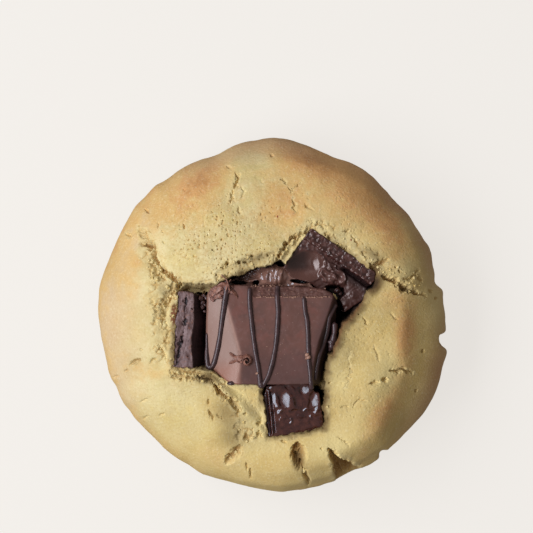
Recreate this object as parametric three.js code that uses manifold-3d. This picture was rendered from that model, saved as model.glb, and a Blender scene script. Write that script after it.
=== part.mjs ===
// A thick, soft-baked cookie with chocolate pressed into its middle, in millimetres, +Z up.
// The cookie is a round dome of dough, cracked and lumpy, with a flat base and an open hollow in
// the middle of its top. The hollow holds five separate pieces: one segment of a milk-chocolate
// praline bar that leans a little to the north, three pieces of dark chocolate (one standing on
// its edge to the west, one lying to the north-east, one lying to the south), and a run of melted
// milk chocolate along the praline's north side.
// The origin is on the base plane, under the middle of the cookie's outline.
import * as THREE from "three";
import { mergeVertices } from "three/addons/utils/BufferGeometryUtils.js";
import Module from "manifold-3d";

const wasm = await Module();
wasm.setup();

// ---- driving dimensions -------------------------------------------------------------------
const CELL = 0.2542; // mm for one step of the plan grid, at the height WIDEST_Z
const EYE_Z = 386; // height of the point that the plan grid is drawn from
const GRID_MID = 266.5; // the plan grid's point straight under the eye
const ORIGIN_U = 272.4; // the origin on the plan grid
const ORIGIN_V = 315.55;
const OUTLINE_U = 272.9; // the middle that the outline's radii are counted from
const OUTLINE_V = 316.5;
const OUTLINE_MEAN = 172.9 * CELL; // mean radius of the outline
const WIDEST_Z = 10; // height of the widest part of the side
const DOME_Z = 30.6; // crown of the plain dome, before its hollow
const BASE_SHARE = 0.9; // radius of the flat base, as a share of the outline
const HOLLOW_FLOOR_Z = 13.5;
const CLEAR = 0.3; // gap kept between touching pieces
const CHUNK_T = 4.7; // thickness of the dark chocolate
const CHUNK_L = 19.0; // its side length
const PRALINE_BASE_Z = 16.4;
const PRALINE_H = 13.2;
const PRALINE_LEAN = 5.5; // degrees, north side down

// The outline's lobes: [waves round the rim, height in grid steps, phase in degrees].
const LOBES = [
  [2, 2.88, 103],
  [3, 1.84, 116],
  [4, 0.99, 44],
  [6, 0.98, 155],
  [7, 0.85, 136],
  [8, 0.49, -66],
  [9, 0.98, -116],
  [10, 0.44, 138],
];
// Clefts and small bulges in the rim: [direction, half-width in degrees, depth in grid steps].
const CLEFTS = [
  [352.4, 3.2, 8.5],
  [308.6, 3.0, 5.0],
  [13.0, 3.2, 4.0],
  [303.0, 3.0, -2.6],
  [346.0, 3.2, -2.4],
  [6.5, 3.2, -2.2],
];
// Cracks in the dough: points on the plan grid, half-width in grid steps, depth in mm.
const CRACKS = [
  { at: [[140, 232], [146, 243], [150, 262], [158, 277], [170, 286]], w: 9, d: 2.2 },
  { at: [[374, 262], [388, 276], [402, 286], [420, 291], [444, 283]], w: 9, d: 2.4 },
  { at: [[196, 380], [222, 386], [238, 402], [252, 418]], w: 9, d: 2.2 },
  { at: [[250, 430], [240, 444], [230, 460]], w: 9, d: 2.0 },
  { at: [[303, 438], [302, 456], [309, 474]], w: 10, d: 2.6 },
  { at: [[330, 446], [342, 460], [352, 480]], w: 10, d: 3.6 },
  { at: [[376, 386], [392, 378], [412, 370]], w: 9, d: 1.2 },
  { at: [[217, 160], [234, 172], [262, 169], [290, 160], [318, 147]], w: 10, d: 1.5 },
  { at: [[220, 165], [225, 180], [222, 200]], w: 8, d: 1.2 },
];

// ---- plan grid --------------------------------------------------------------------------------
const stepsPerMm = (z) => (EYE_Z - WIDEST_Z) / CELL / (EYE_Z - z);
const EYE_X = (GRID_MID - ORIGIN_U) * CELL;
const EYE_Y = (ORIGIN_V - GRID_MID) * CELL;
const plan = (u, v, z) => [
  EYE_X + (u - GRID_MID) / stepsPerMm(z),
  EYE_Y - (v - GRID_MID) / stepsPerMm(z),
];
const grid = (x, y, z) => [
  GRID_MID + (x - EYE_X) * stepsPerMm(z),
  GRID_MID - (y - EYE_Y) * stepsPerMm(z),
];
const rad = (deg) => (deg * Math.PI) / 180;
const ramp = (a, b, x) => {
  const t = Math.min(1, Math.max(0, (x - a) / (b - a)));
  return t * t * (3 - 2 * t);
};
const [MID_X, MID_Y] = plan(OUTLINE_U, OUTLINE_V, WIDEST_Z);

// ---- solids -----------------------------------------------------------------------------------
function solidOf(geometry) {
  const plain = geometry.index ? geometry.toNonIndexed() : geometry.clone();
  const bare = new THREE.BufferGeometry().setAttribute(
    "position",
    plain.getAttribute("position"),
  );
  const merged = mergeVertices(bare, 1e-3);
  const made = new wasm.Manifold(
    new wasm.Mesh({
      numProp: 3,
      vertProperties: new Float32Array(merged.attributes.position.array),
      triVerts: new Uint32Array(merged.index.array),
    }),
  );
  return made;
}
function largest(solid) {
  return solid
    .decompose()
    .reduce((a, b) => (b.volume() > a.volume() ? b : a));
}
function meshOf(name, solid, colour, roughness) {
  const m = solid.getMesh();
  const p = new Float32Array(m.numVert * 3);
  for (let i = 0; i < m.numVert; i++)
    p.set(m.vertProperties.subarray(i * m.numProp, i * m.numProp + 3), i * 3);
  const g = new THREE.BufferGeometry();
  g.setAttribute("position", new THREE.BufferAttribute(p, 3));
  g.setIndex(new THREE.BufferAttribute(new Uint32Array(m.triVerts), 1));
  g.computeVertexNormals();
  const mesh = new THREE.Mesh(
    g,
    new THREE.MeshStandardMaterial({ color: colour, roughness, metalness: 0 }),
  );
  mesh.name = name;
  return mesh;
}

// ---- the dough --------------------------------------------------------------------------------
function outline(angle, share) {
  let r = OUTLINE_MEAN;
  for (const [n, height, phase] of LOBES)
    r += height * CELL * Math.cos(n * angle + rad(phase));
  const near = ramp(0.75, 0.97, share);
  for (const [at, half, depth] of CLEFTS) {
    let d = angle - rad(at);
    d = Math.atan2(Math.sin(d), Math.cos(d));
    r -= near * depth * CELL * Math.exp(-((d / rad(half)) ** 2));
  }
  return r;
}
function toLine(u, v, line) {
  let best = Infinity;
  for (let i = 0; i + 1 < line.length; i++) {
    const [ax, ay] = line[i];
    const [bx, by] = line[i + 1];
    const ex = bx - ax;
    const ey = by - ay;
    const t = Math.min(
      1,
      Math.max(0, ((u - ax) * ex + (v - ay) * ey) / (ex * ex + ey * ey)),
    );
    best = Math.min(best, Math.hypot(u - ax - t * ex, v - ay - t * ey));
  }
  return best;
}
// Swellings and cracks, in mm along the dome's normal.
function relief(u, v) {
  let d =
    0.7 * Math.sin(u / 23 + 0.6) * Math.cos(v / 27 - 0.4) +
    0.45 * Math.sin((u + v) / 17 + 1.1) +
    0.3 * Math.cos((u - 1.4 * v) / 13);
  // the low lump at the north rim, and the tall brown shoulder to the north-east
  d -= 1.9 * Math.exp(-(((u - 262) / 42) ** 2 + ((v - 150) / 13) ** 2));
  d += 1.2 * Math.exp(-(((u - 355) / 45) ** 2 + ((v - 205) / 32) ** 2));
  d += 1.1 * Math.exp(-(((u - 400) / 14) ** 2 + ((v - 335) / 40) ** 2));
  d += 0.9 * Math.exp(-(((u - 205) / 26) ** 2 + ((v - 178) / 18) ** 2));
  d -= 1.6 * Math.exp(-(((u - 244) / 26) ** 2 + ((v - 404) / 22) ** 2));
  for (const c of CRACKS)
    d -= c.d * Math.exp(-((toLine(u, v, c.at) / c.w) ** 2));
  return d;
}
// Half of the section, from the crown out to the widest part and down to the flat base.
const TOP_RINGS = 26;
const section = [];
for (let i = 0; i <= TOP_RINGS; i++) {
  const a = ((Math.PI / 2) * i) / TOP_RINGS;
  section.push([
    Math.sin(a) ** 0.8,
    WIDEST_Z + (DOME_Z - WIDEST_Z) * Math.max(0, Math.cos(a)) ** 0.92,
    Math.sin(a) ** 2.2,
  ]);
}
section.push([0.998, 7.4, 1], [0.985, 4.8, 0.9], [0.962, 2.4, 0.7], [0.932, 0.7, 0.3]);
section.push([BASE_SHARE, 0, 0], [BASE_SHARE * 0.55, 0, 0], [0, 0, 0]);
section[0][0] = 0;
const TURN = 90;
function dough() {
  // A lathe of the section, listed from the base up, then moved out to the real outline.
  const unit = section
    .map(([s], i) => new THREE.Vector2(s, i))
    .reverse();
  const g = new THREE.LatheGeometry(unit, TURN);
  const p = g.getAttribute("position");
  for (let k = 0; k < p.count; k++) {
    const row = Math.round(p.getY(k));
    const [share, height, outward] = section[row];
    const a = Math.atan2(p.getX(k), p.getZ(k)) + Math.PI / 2;
    const r = share * outline(a, share);
    let x = MID_X + r * Math.cos(a);
    let y = MID_Y + r * Math.sin(a);
    let z = height;
    if (share > 0 || height > 1) {
      const [u, v] = grid(x, y, z);
      const d = relief(u, v) * ramp(1.5, 9, z);
      x += d * outward * Math.cos(a);
      y += d * outward * Math.sin(a);
      z += d * (1 - 0.75 * outward);
    }
    p.setXYZ(k, x, y, z);
  }
  const made = solidOf(g);
  return made;
}

// The hollow's rim on the plan grid.
const HOLLOW = [
  [167, 340], [168, 300], [173, 287], [190, 289], [212, 287], [232, 278],
  [250, 271], [264, 266], [277, 258], [286, 249], [300, 237], [311, 225],
  [345, 246], [379, 271], [374, 286], [360, 302], [348, 318], [343, 334],
  [337, 350], [330, 366], [326, 384], [328, 400], [330, 416], [324, 431],
  [296, 438], [266, 438], [260, 424], [262, 402], [250, 390], [232, 388],
  [212, 381], [190, 377], [172, 372],
];
function hollow() {
  const rim = HOLLOW.map(([u, v]) => new THREE.Vector2(...plan(u, v, 27)));
  const shape = new THREE.Shape();
  shape.setFromPoints(rim);
  const g = new THREE.ExtrudeGeometry(shape, {
    depth: 30,
    bevelEnabled: false,
    curveSegments: 1,
  });
  g.translate(0, 0, HOLLOW_FLOOR_Z);
  return solidOf(g);
}

// ---- dark chocolate -------------------------------------------------------------------------
// A block of chocolate with soft edges, its top at z = 0, and wear(s, t), in mm, taken off the top,
// where s and t run from -1 to 1 along its length and its width.
function block(length, width, thick, grow, wear) {
  const nx = 10;
  const ny = 8;
  const nz = 2;
  const g = new THREE.BoxGeometry(2, 2, 2, nx, ny, nz);
  const p = g.getAttribute("position");
  const soft = 9; // how square the corners are: higher is squarer
  for (let k = 0; k < p.count; k++) {
    const s = p.getX(k);
    const t = p.getY(k);
    const w = p.getZ(k);
    const away =
      (Math.abs(s) ** soft + Math.abs(t) ** soft + Math.abs(w) ** soft) **
      (1 / soft);
    const x = (s / away) * (length / 2 + grow);
    const y = (t / away) * (width / 2 + grow);
    let z = (w / away) * (thick / 2 + grow) - thick / 2;
    if (w > 0.99) z -= wear(s, t);
    p.setXYZ(k, x, y, z);
  }
  return g;
}
const none = () => 0;
// Moves a geometry so that its own X and Y point along the two given directions.
function place(geometry, along, across, at) {
  const x = new THREE.Vector3(...along).normalize();
  const z = x.clone().cross(new THREE.Vector3(...across)).normalize();
  const y = z.clone().cross(x);
  geometry.applyMatrix4(
    new THREE.Matrix4().makeBasis(x, y, z).setPosition(...at),
  );
  return solidOf(geometry);
}
function between(a, b) {
  return a.map((q, i) => b[i] - q);
}
const at3 = (u, v, z) => [...plan(u, v, z), z];

// North-east piece: its outer edge is high, and it slopes down to the praline.
const NE_TOP = at3(311, 229, 28.8);
const NE_RIGHT = at3(376, 273, 27.6);
const NE_LEFT = at3(283, 268, 25.4);
const NE_L = 19.2;
const NE_W = 12.4;
function northEast(grow) {
  const along = between(NE_TOP, NE_RIGHT);
  const down = between(NE_TOP, NE_LEFT);
  const ul = new THREE.Vector3(...along).normalize();
  const n = ul.clone().cross(new THREE.Vector3(...down)).normalize();
  const ud = n.clone().cross(ul);
  if (n.z < 0) n.negate();
  const mid = new THREE.Vector3(...NE_TOP)
    .addScaledVector(ul, NE_L / 2)
    .addScaledVector(ud, (ud.dot(new THREE.Vector3(...down)) > 0 ? 1 : -1) * (NE_W / 2));
  const across = ud.clone().multiplyScalar(
    ud.dot(new THREE.Vector3(...down)) > 0 ? -1 : 1,
  );
  // a melted pool in its western half, and a groove along the raised outer ridge
  const g = block(NE_L, NE_W, CHUNK_T, grow, (s, t) =>
    grow > 0
      ? 0
      : 1.1 * Math.exp(-(((s + 0.35) / 0.42) ** 2 + ((t + 0.45) / 0.55) ** 2)) +
        0.5 * Math.exp(-(((t - 0.12) / 0.16) ** 2)) * ramp(-0.2, 0.2, s),
  );
  return place(g, ul.toArray(), across.toArray(), mid.toArray());
}

// West piece: stands on its edge and leans outwards, so the broad face shows to the east.
const W_LEN = 18.6;
const W_DEEP = 14.5;
const W_LEAN = 13;
function west(grow) {
  const top = at3(186.5, 291.5, 27.2);
  const low = at3(182.8, 367, 27.2);
  const along = between(low, top);
  const mid = top.map((q, i) => (q + low[i]) / 2);
  const ul = new THREE.Vector3(...along).normalize();
  const down = new THREE.Vector3(Math.sin(rad(W_LEAN)), 0, -Math.cos(rad(W_LEAN)));
  const centre = new THREE.Vector3(...mid).addScaledVector(down, W_DEEP / 2);
  const g = block(W_LEN, W_DEEP, CHUNK_T, grow, none);
  g.translate(0, 0, CHUNK_T / 2);
  return place(g, ul.toArray(), down.clone().negate().toArray(), centre.toArray());
}

// South piece: softened and shiny, its west edge raised, its north edge under the praline.
const S_L = 14.2;
const S_W = 13.6;
function south(grow) {
  const left = at3(265.5, 384, 27.0);
  const right = at3(320, 383.5, 25.4);
  const low = at3(270, 434, 25.6);
  const ul = new THREE.Vector3(...between(left, right)).normalize();
  const d = new THREE.Vector3(...between(left, low));
  const n = ul.clone().cross(d).normalize();
  if (n.z < 0) n.negate();
  const ud = n.clone().cross(ul); // points north
  const mid = new THREE.Vector3(...left)
    .addScaledVector(ul, S_L / 2)
    .addScaledVector(ud, -S_W / 2);
  const g = block(S_L, S_W, CHUNK_T, grow, (s, t) =>
    grow > 0
      ? 0
      : 0.5 * Math.exp(-(((s + 0.62) / 0.12) ** 2)) * ramp(-0.6, 0.2, t) +
        0.7 * ramp(0.1, 0.9, -t) * 0.6 +
        0.3 * Math.exp(-((s / 0.5) ** 2 + ((t - 0.2) / 0.5) ** 2)),
  );
  return place(g, ul.toArray(), ud.toArray(), mid.toArray());
}

// ---- praline ----------------------------------------------------------------------------------
// Foot and flat top of the segment on the plan grid, corner by corner, from the south-west round
// by the east. The west end slopes most, the south side is upright, the east end is steep.
const FOOT = [
  [240, 384], [320, 384], [336, 297], [300, 289], [255, 285], [212, 285],
  [205, 310], [205, 362], [213, 370],
];
const CROWN = [
  [241, 383], [312, 383], [325, 299], [300, 297], [255, 296], [224, 296],
  [227, 312], [238, 346], [239, 368],
];
function praline(grow) {
  const leanMid = new THREE.Vector3(...at3(270, 335, PRALINE_BASE_Z));
  const perSide = 5;
  const around = (corners, z) => {
    const pts = [];
    corners.forEach((c, i) => {
      const e = corners[(i + 1) % corners.length];
      for (let k = 0; k < perSide; k++) {
        const t = k / perSide;
        pts.push(
          new THREE.Vector2(
            ...plan(c[0] + (e[0] - c[0]) * t, c[1] + (e[1] - c[1]) * t, z),
          ),
        );
      }
    });
    return pts;
  };
  const foot = around(FOOT, PRALINE_BASE_Z + 2);
  const crown = around(CROWN, PRALINE_BASE_Z + PRALINE_H);
  const n = foot.length;
  const middle = (list) =>
    list
      .reduce((a, b) => a.add(b), new THREE.Vector2())
      .divideScalar(list.length);
  const fm = middle(foot.map((q) => q.clone()));
  const cm = middle(crown.map((q) => q.clone()));
  // levels: [share of the way from foot to crown, height share, share of the ring's size]
  const levels = [
    [0, 0, 0], [0, 0, 0.9], [0, 0.02, 1], [0.04, 0.14, 1], [0.3, 0.42, 1],
    [0.62, 0.74, 1], [0.85, 0.93, 0.995], [0.97, 0.985, 0.975], [1, 1, 0.93],
    [1, 1.012, 0.6], [1, 1.018, 0],
  ];
  const g = new THREE.LatheGeometry(
    levels.map(([, , s], i) => new THREE.Vector2(s, i)),
    n,
  );
  const p = g.getAttribute("position");
  for (let k = 0; k < p.count; k++) {
    const row = Math.round(p.getY(k));
    const [mix, high, size] = levels[row];
    // the lathe counts its columns from +Z towards +X; foot and crown run anticlockwise
    const turn = Math.atan2(p.getX(k), p.getZ(k));
    const i = ((Math.round((turn / (2 * Math.PI)) * n) % n) + n) % n;
    const f = foot[i].clone().sub(fm).multiplyScalar(size);
    const c = crown[i].clone().sub(cm).multiplyScalar(size);
    const out = f.clone().lerp(c, mix);
    if (out.length() > 0) out.multiplyScalar(1 + grow / out.length());
    const m = fm.clone().lerp(cm, mix);
    p.setXYZ(
      k,
      m.x + out.x,
      m.y + out.y,
      PRALINE_BASE_Z + high * PRALINE_H + (high > 0.5 ? grow : -grow * (high < 0.01)),
    );
  }
  g.translate(-leanMid.x, -leanMid.y, -leanMid.z);
  g.rotateX(rad(PRALINE_LEAN));
  g.translate(leanMid.x, leanMid.y, leanMid.z);
  return solidOf(g);
}

// ---- melted milk chocolate ------------------------------------------------------------------
// A run of melted chocolate between the dough and the praline's north side.
const RUN = [
  [229, 288], [235, 279], [250, 272], [263, 268], [274, 264], [283, 262],
  [292, 266], [305, 272], [320, 280], [331, 288], [331, 296], [300, 296],
  [262, 294], [236, 292],
];
const RUN_FLOOR = 17.5;
const RUN_TOP = 25.2;
function melt(grow) {
  const pts = RUN.map(([u, v]) => new THREE.Vector2(...plan(u, v, RUN_TOP)));
  const m = pts
    .reduce((a, b) => a.add(b), new THREE.Vector2())
    .divideScalar(RUN.length);
  const ring = RUN.map(([u, v]) => new THREE.Vector2(...plan(u, v, RUN_TOP)));
  const n = ring.length * 3;
  const curve = new THREE.SplineCurve([...ring, ring[0]]);
  const rim = curve.getPoints(n).slice(0, n).reverse();
  const levels = [
    [0, 0], [0.9, 0], [1, 0.15], [1, 0.72], [0.93, 0.88], [0.78, 0.95], [0.5, 1], [0, 1.03],
  ];
  const g = new THREE.LatheGeometry(
    levels.map(([s], i) => new THREE.Vector2(s, i)),
    n,
  );
  const p = g.getAttribute("position");
  for (let k = 0; k < p.count; k++) {
    const [size, high] = levels[Math.round(p.getY(k))];
    const turn = Math.atan2(p.getX(k), p.getZ(k));
    const i = ((Math.round((turn / (2 * Math.PI)) * n) % n) + n) % n;
    const out = rim[i].clone().sub(m).multiplyScalar(size);
    if (out.length() > 0) out.multiplyScalar(1 + grow / out.length());
    const x = m.x + out.x;
    const y = m.y + out.y;
    let z = RUN_FLOOR + (RUN_TOP - RUN_FLOOR) * high;
    if (high > 0.5) z += grow + 0.35 * Math.sin(x * 1.5) * size * (1 - size) * 4;
    if (high === 0) z -= grow;
    p.setXYZ(k, x, y, z);
  }
  return solidOf(g);
}

// ---- assembly ---------------------------------------------------------------------------------
const chunkNE = northEast(0);
const chunkW = west(0);
const chunkS = south(0);
const bar = largest(
  praline(0)
    .subtract(northEast(CLEAR))
    .subtract(west(CLEAR))
    .subtract(south(CLEAR)),
);
const run = largest(
  melt(0)
    .subtract(praline(CLEAR))
    .subtract(northEast(CLEAR)),
);
const cookie = largest(
  dough()
    .subtract(hollow())
    .subtract(praline(CLEAR))
    .subtract(northEast(CLEAR))
    .subtract(west(CLEAR))
    .subtract(south(CLEAR))
    .subtract(melt(CLEAR)),
);

const root = new THREE.Group();
root.name = "chocolate_topped_cookie";
root.add(
  meshOf("cookie", cookie, 0xcdb784, 0.85),
  meshOf("praline", bar, 0x6e4a40, 0.42),
  meshOf("chunk_northeast", chunkNE, 0x3a2019, 0.35),
  meshOf("chunk_west", chunkW, 0x3b241f, 0.55),
  meshOf("chunk_south", chunkS, 0x3a1f17, 0.2),
  meshOf("melted_chocolate", run, 0x6b4030, 0.25),
);
export default root;
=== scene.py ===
"""Looks of the chocolate-topped cookie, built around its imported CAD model.

Everything is worked out in millimetres and written to the meshes in metres. Features are placed on
a plan grid (u to the east, v to the south) that is drawn from a point straight above the cookie.
"""
import math

import bpy
import numpy as np
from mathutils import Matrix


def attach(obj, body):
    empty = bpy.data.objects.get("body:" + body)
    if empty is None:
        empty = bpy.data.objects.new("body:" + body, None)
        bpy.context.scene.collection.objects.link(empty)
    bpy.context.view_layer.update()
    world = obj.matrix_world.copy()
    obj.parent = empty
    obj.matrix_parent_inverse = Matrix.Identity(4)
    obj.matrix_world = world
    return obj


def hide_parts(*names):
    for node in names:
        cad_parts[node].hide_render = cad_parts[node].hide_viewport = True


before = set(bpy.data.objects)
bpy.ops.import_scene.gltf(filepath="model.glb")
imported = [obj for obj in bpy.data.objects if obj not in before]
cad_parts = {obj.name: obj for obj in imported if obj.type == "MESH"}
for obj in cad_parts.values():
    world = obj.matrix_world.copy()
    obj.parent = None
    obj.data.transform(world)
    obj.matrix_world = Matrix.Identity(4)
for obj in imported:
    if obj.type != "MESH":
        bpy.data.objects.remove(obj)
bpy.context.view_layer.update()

MM = 0.001

# ------------------------------------------------------------------------------ plan grid
CELL = 0.2542
EYE_Z = 386.0
WIDEST_Z = 10.0
GRID_MID = 266.5
ORIGIN_U, ORIGIN_V = 272.4, 315.55
OUTLINE_U, OUTLINE_V = 272.9, 316.5
OUTLINE_MEAN = 172.9 * CELL
DOME_Z = 30.6
EYE_X = (GRID_MID - ORIGIN_U) * CELL
EYE_Y = (ORIGIN_V - GRID_MID) * CELL


def plan(u, v, z):
    k = (EYE_Z - z) * CELL / (EYE_Z - WIDEST_Z)
    return EYE_X + (u - GRID_MID) * k, EYE_Y - (v - GRID_MID) * k


def grid(x, y, z):
    k = (EYE_Z - z) * CELL / (EYE_Z - WIDEST_Z)
    return GRID_MID + (x - EYE_X) / k, GRID_MID - (y - EYE_Y) / k


# ------------------------------------------------------------------------------ noise
def ramp(a, b, x):
    t = np.clip((x - a) / (b - a), 0.0, 1.0)
    return t * t * (3 - 2 * t)


def _hash(ix, iy, seed):
    h = (ix * 374761393 + iy * 668265263 + seed * 974634777) & 0xFFFFFFFF
    h = ((h ^ (h >> 13)) * 1274126177) & 0xFFFFFFFF
    return (h ^ (h >> 16)) & 0xFFFFFFFF


def lattice(ix, iy, seeds, pad=1):
    """Random numbers 0..1 on the whole-number lattice under ix, iy, and each point's place in it."""
    x0, y0 = ix.min() - pad, iy.min() - pad
    w, h = int(ix.max() - x0 + pad + 1), int(iy.max() - y0 + pad + 1)
    gx, gy = np.meshgrid(np.arange(x0, x0 + w), np.arange(y0, y0 + h))
    tables = [(_hash(gx, gy, s) / 4294967296.0).ravel() for s in seeds]
    return tables, (iy - y0) * w + (ix - x0), w


def noise(x, y, seed=0):
    x, y = np.broadcast_arrays(np.asarray(x, float), np.asarray(y, float))
    if x.size == 0:
        return np.zeros(x.shape)
    ix = np.floor(x).astype(np.int64)
    iy = np.floor(y).astype(np.int64)
    fx, fy = x - ix, y - iy
    (turn,), at, w = lattice(ix, iy, [seed])
    gx, gy = np.cos(turn * 2 * math.pi), np.sin(turn * 2 * math.pi)

    def corner(dx, dy):
        k = at + (dy * w + dx)
        return gx[k] * (fx - dx) + gy[k] * (fy - dy)

    sx = fx * fx * fx * (fx * (fx * 6 - 15) + 10)
    sy = fy * fy * fy * (fy * (fy * 6 - 15) + 10)
    top = corner(0, 0) * (1 - sx) + corner(1, 0) * sx
    low = corner(0, 1) * (1 - sx) + corner(1, 1) * sx
    return 1.5 * (top * (1 - sy) + low * sy)


def fbm(x, y, octaves=4, seed=0, gain=0.5):
    total, amp, norm = 0.0, 1.0, 0.0
    for k in range(octaves):
        total = total + amp * noise(x, y, seed + 17 * k)
        norm += amp
        amp *= gain
        x, y = x * 2.03 + 3.1, y * 2.03 - 1.7
    return total / norm


def ridged(x, y, octaves=3, seed=0):
    total, amp, norm = 0.0, 1.0, 0.0
    for k in range(octaves):
        total = total + amp * (1 - 2.2 * np.abs(noise(x, y, seed + 13 * k)))
        norm += amp
        amp *= 0.5
        x, y = x * 2.1 + 1.3, y * 2.1 + 4.7
    return total / norm


def scatter_pits(x, y, cell, seed, share, r_low, r_high, stretch=1.6):
    """Depth 0..1 of small pits thrown one to a cell, each with its own size and direction."""
    out = np.zeros_like(x)
    if x.size == 0:
        return out
    ix = np.floor(x / cell).astype(np.int64)
    iy = np.floor(y / cell).astype(np.int64)
    (t1, t2, t3, t4, t5), at, w = lattice(ix, iy, [seed, seed + 1, seed + 2, seed + 3, seed + 4])
    ct, st = np.cos(t3 * math.pi), np.sin(t3 * math.pi)
    rr = (r_low + (r_high - r_low) * t4 * t4) * np.where(t5 < share, 1.0, 1e-6)
    for dx in (-1, 0, 1):
        for dy in (-1, 0, 1):
            k = at + (dy * w + dx)
            px = (ix + dx + 0.15 + 0.7 * t1[k]) * cell - x
            py = (iy + dy + 0.15 + 0.7 * t2[k]) * cell - y
            qx = (px * ct[k] + py * st[k]) / stretch
            qy = -px * st[k] + py * ct[k]
            out = np.maximum(out, 1 - ramp(0.35, 1.0, np.sqrt(qx * qx + qy * qy) / rr[k]))
    return out


def grains(x, y, size, seed):
    """Grains packed side by side: distance to the nearest one and to the next, in grain sizes."""
    best = np.full(np.shape(x), 9.0)
    second = np.full(np.shape(x), 9.0)
    if np.size(x) == 0:
        return best, second
    gx, gy = x / size, y / size
    ix = np.floor(gx).astype(np.int64)
    iy = np.floor(gy).astype(np.int64)
    (t1, t2), at, w = lattice(ix, iy, [seed, seed + 1])
    for dx in (-1, 0, 1):
        for dy in (-1, 0, 1):
            k = at + (dy * w + dx)
            px = ix + dx + 0.1 + 0.8 * t1[k] - gx
            py = iy + dy + 0.1 + 0.8 * t2[k] - gy
            d = np.sqrt(px * px + py * py)
            second = np.minimum(second, np.maximum(best, d))
            best = np.minimum(best, d)
    return best, second


# ------------------------------------------------------------------------------ plan shapes
def line_dist(u, v, line):
    """Distance to a polyline and how far along it the nearest point is, 0 to 1."""
    line = np.asarray(line, float)
    seg = np.hypot(*(line[1:] - line[:-1]).T)
    total = seg.sum()
    best = np.full(np.shape(u), 1e9)
    along = np.zeros(np.shape(u))
    gone = 0.0
    for (ax, ay), (bx, by), s in zip(line[:-1], line[1:], seg):
        ex, ey = bx - ax, by - ay
        t = np.clip(((u - ax) * ex + (v - ay) * ey) / max(s * s, 1e-9), 0, 1)
        d = np.hypot(u - ax - t * ex, v - ay - t * ey)
        near = d < best
        best = np.where(near, d, best)
        along = np.where(near, (gone + t * s) / total, along)
        gone += s
    return best, along


def inside(u, v, poly):
    poly = np.asarray(poly, float)
    odd = np.zeros(np.shape(u), bool)
    for (ax, ay), (bx, by) in zip(poly, np.roll(poly, -1, 0)):
        if ay == by:
            continue
        hit = ((ay > v) != (by > v)) & (u < (bx - ax) * (v - ay) / (by - ay) + ax)
        odd ^= hit
    return odd


def signed(u, v, poly):
    """Distance to a closed outline, positive inside."""
    ring = list(poly) + [poly[0]]
    d, _ = line_dist(u, v, ring)
    return np.where(inside(u, v, poly), d, -d)


def blob(u, v, cu, cv, ru, rv, turn=0.0):
    a = math.radians(turn)
    du, dv = u - cu, v - cv
    p = (du * math.cos(a) + dv * math.sin(a)) / ru
    q = (-du * math.sin(a) + dv * math.cos(a)) / rv
    return np.exp(-(p * p + q * q))


def smin(a, b, k):
    h = np.clip(0.5 + 0.5 * (b - a) / k, 0, 1)
    return b * (1 - h) + a * h - k * h * (1 - h)


def smax(a, b, k):
    return -smin(-a, -b, k)


# ------------------------------------------------------------------------------ mesh making
def make_mesh(name, points, quads, tris, material, layers=None, smooth=True):
    """points in mm. Quads and tris are index arrays; layers are per-point numbers."""
    quads = np.asarray(quads, np.int32).reshape(-1, 4)
    tris = np.asarray(tris, np.int32).reshape(-1, 3)
    mesh = bpy.data.meshes.new(name)
    mesh.vertices.add(len(points))
    mesh.vertices.foreach_set("co", (np.asarray(points) * MM).astype(np.float32).ravel())
    loops = np.concatenate([quads.ravel(), tris.ravel()]).astype(np.int32)
    mesh.loops.add(len(loops))
    mesh.loops.foreach_set("vertex_index", loops)
    n = len(quads) + len(tris)
    mesh.polygons.add(n)
    starts = np.concatenate(
        [np.arange(len(quads)) * 4, len(quads) * 4 + np.arange(len(tris)) * 3]
    ).astype(np.int32)
    mesh.polygons.foreach_set("loop_start", starts)
    mesh.update(calc_edges=True)
    mesh.validate()
    mesh.polygons.foreach_set("use_smooth", np.full(len(mesh.polygons), smooth))
    for key, values in (layers or {}).items():
        layer = mesh.attributes.new(key, "FLOAT", "POINT")
        layer.data.foreach_set("value", np.asarray(values, np.float32))
    mesh.materials.append(material)
    mesh.update()
    piece = bpy.data.objects.new(name, mesh)
    bpy.context.scene.collection.objects.link(piece)
    return piece


def disc_grid(n):
    """A square grid of (n+1)^2 points pressed to a disc: radius 0..1, direction, quads, rim loop."""
    line = np.linspace(-1, 1, n + 1)
    a, b = np.meshgrid(line, line, indexing="xy")
    wide = np.abs(a) > np.abs(b)
    r = np.where(wide, a, b)
    with np.errstate(divide="ignore", invalid="ignore"):
        phi = np.where(
            wide,
            (math.pi / 4) * (b / np.where(wide, a, 1)),
            math.pi / 2 - (math.pi / 4) * (a / np.where(wide | (b == 0), 1, b)),
        )
    phi = np.where(r < 0, phi + math.pi, phi)
    r = np.abs(r)
    idx = np.arange((n + 1) ** 2).reshape(n + 1, n + 1)
    quads = np.stack([idx[:-1, :-1], idx[:-1, 1:], idx[1:, 1:], idx[1:, :-1]], -1).reshape(-1, 4)
    rim = np.concatenate([idx[0, :-1], idx[:-1, -1], idx[-1, :0:-1], idx[:0:-1, 0]])
    return r.ravel(), phi.ravel(), quads, rim


def ring_quads(upper, lower):
    return np.stack([upper, lower, np.roll(lower, -1), np.roll(upper, -1)], -1)


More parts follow.
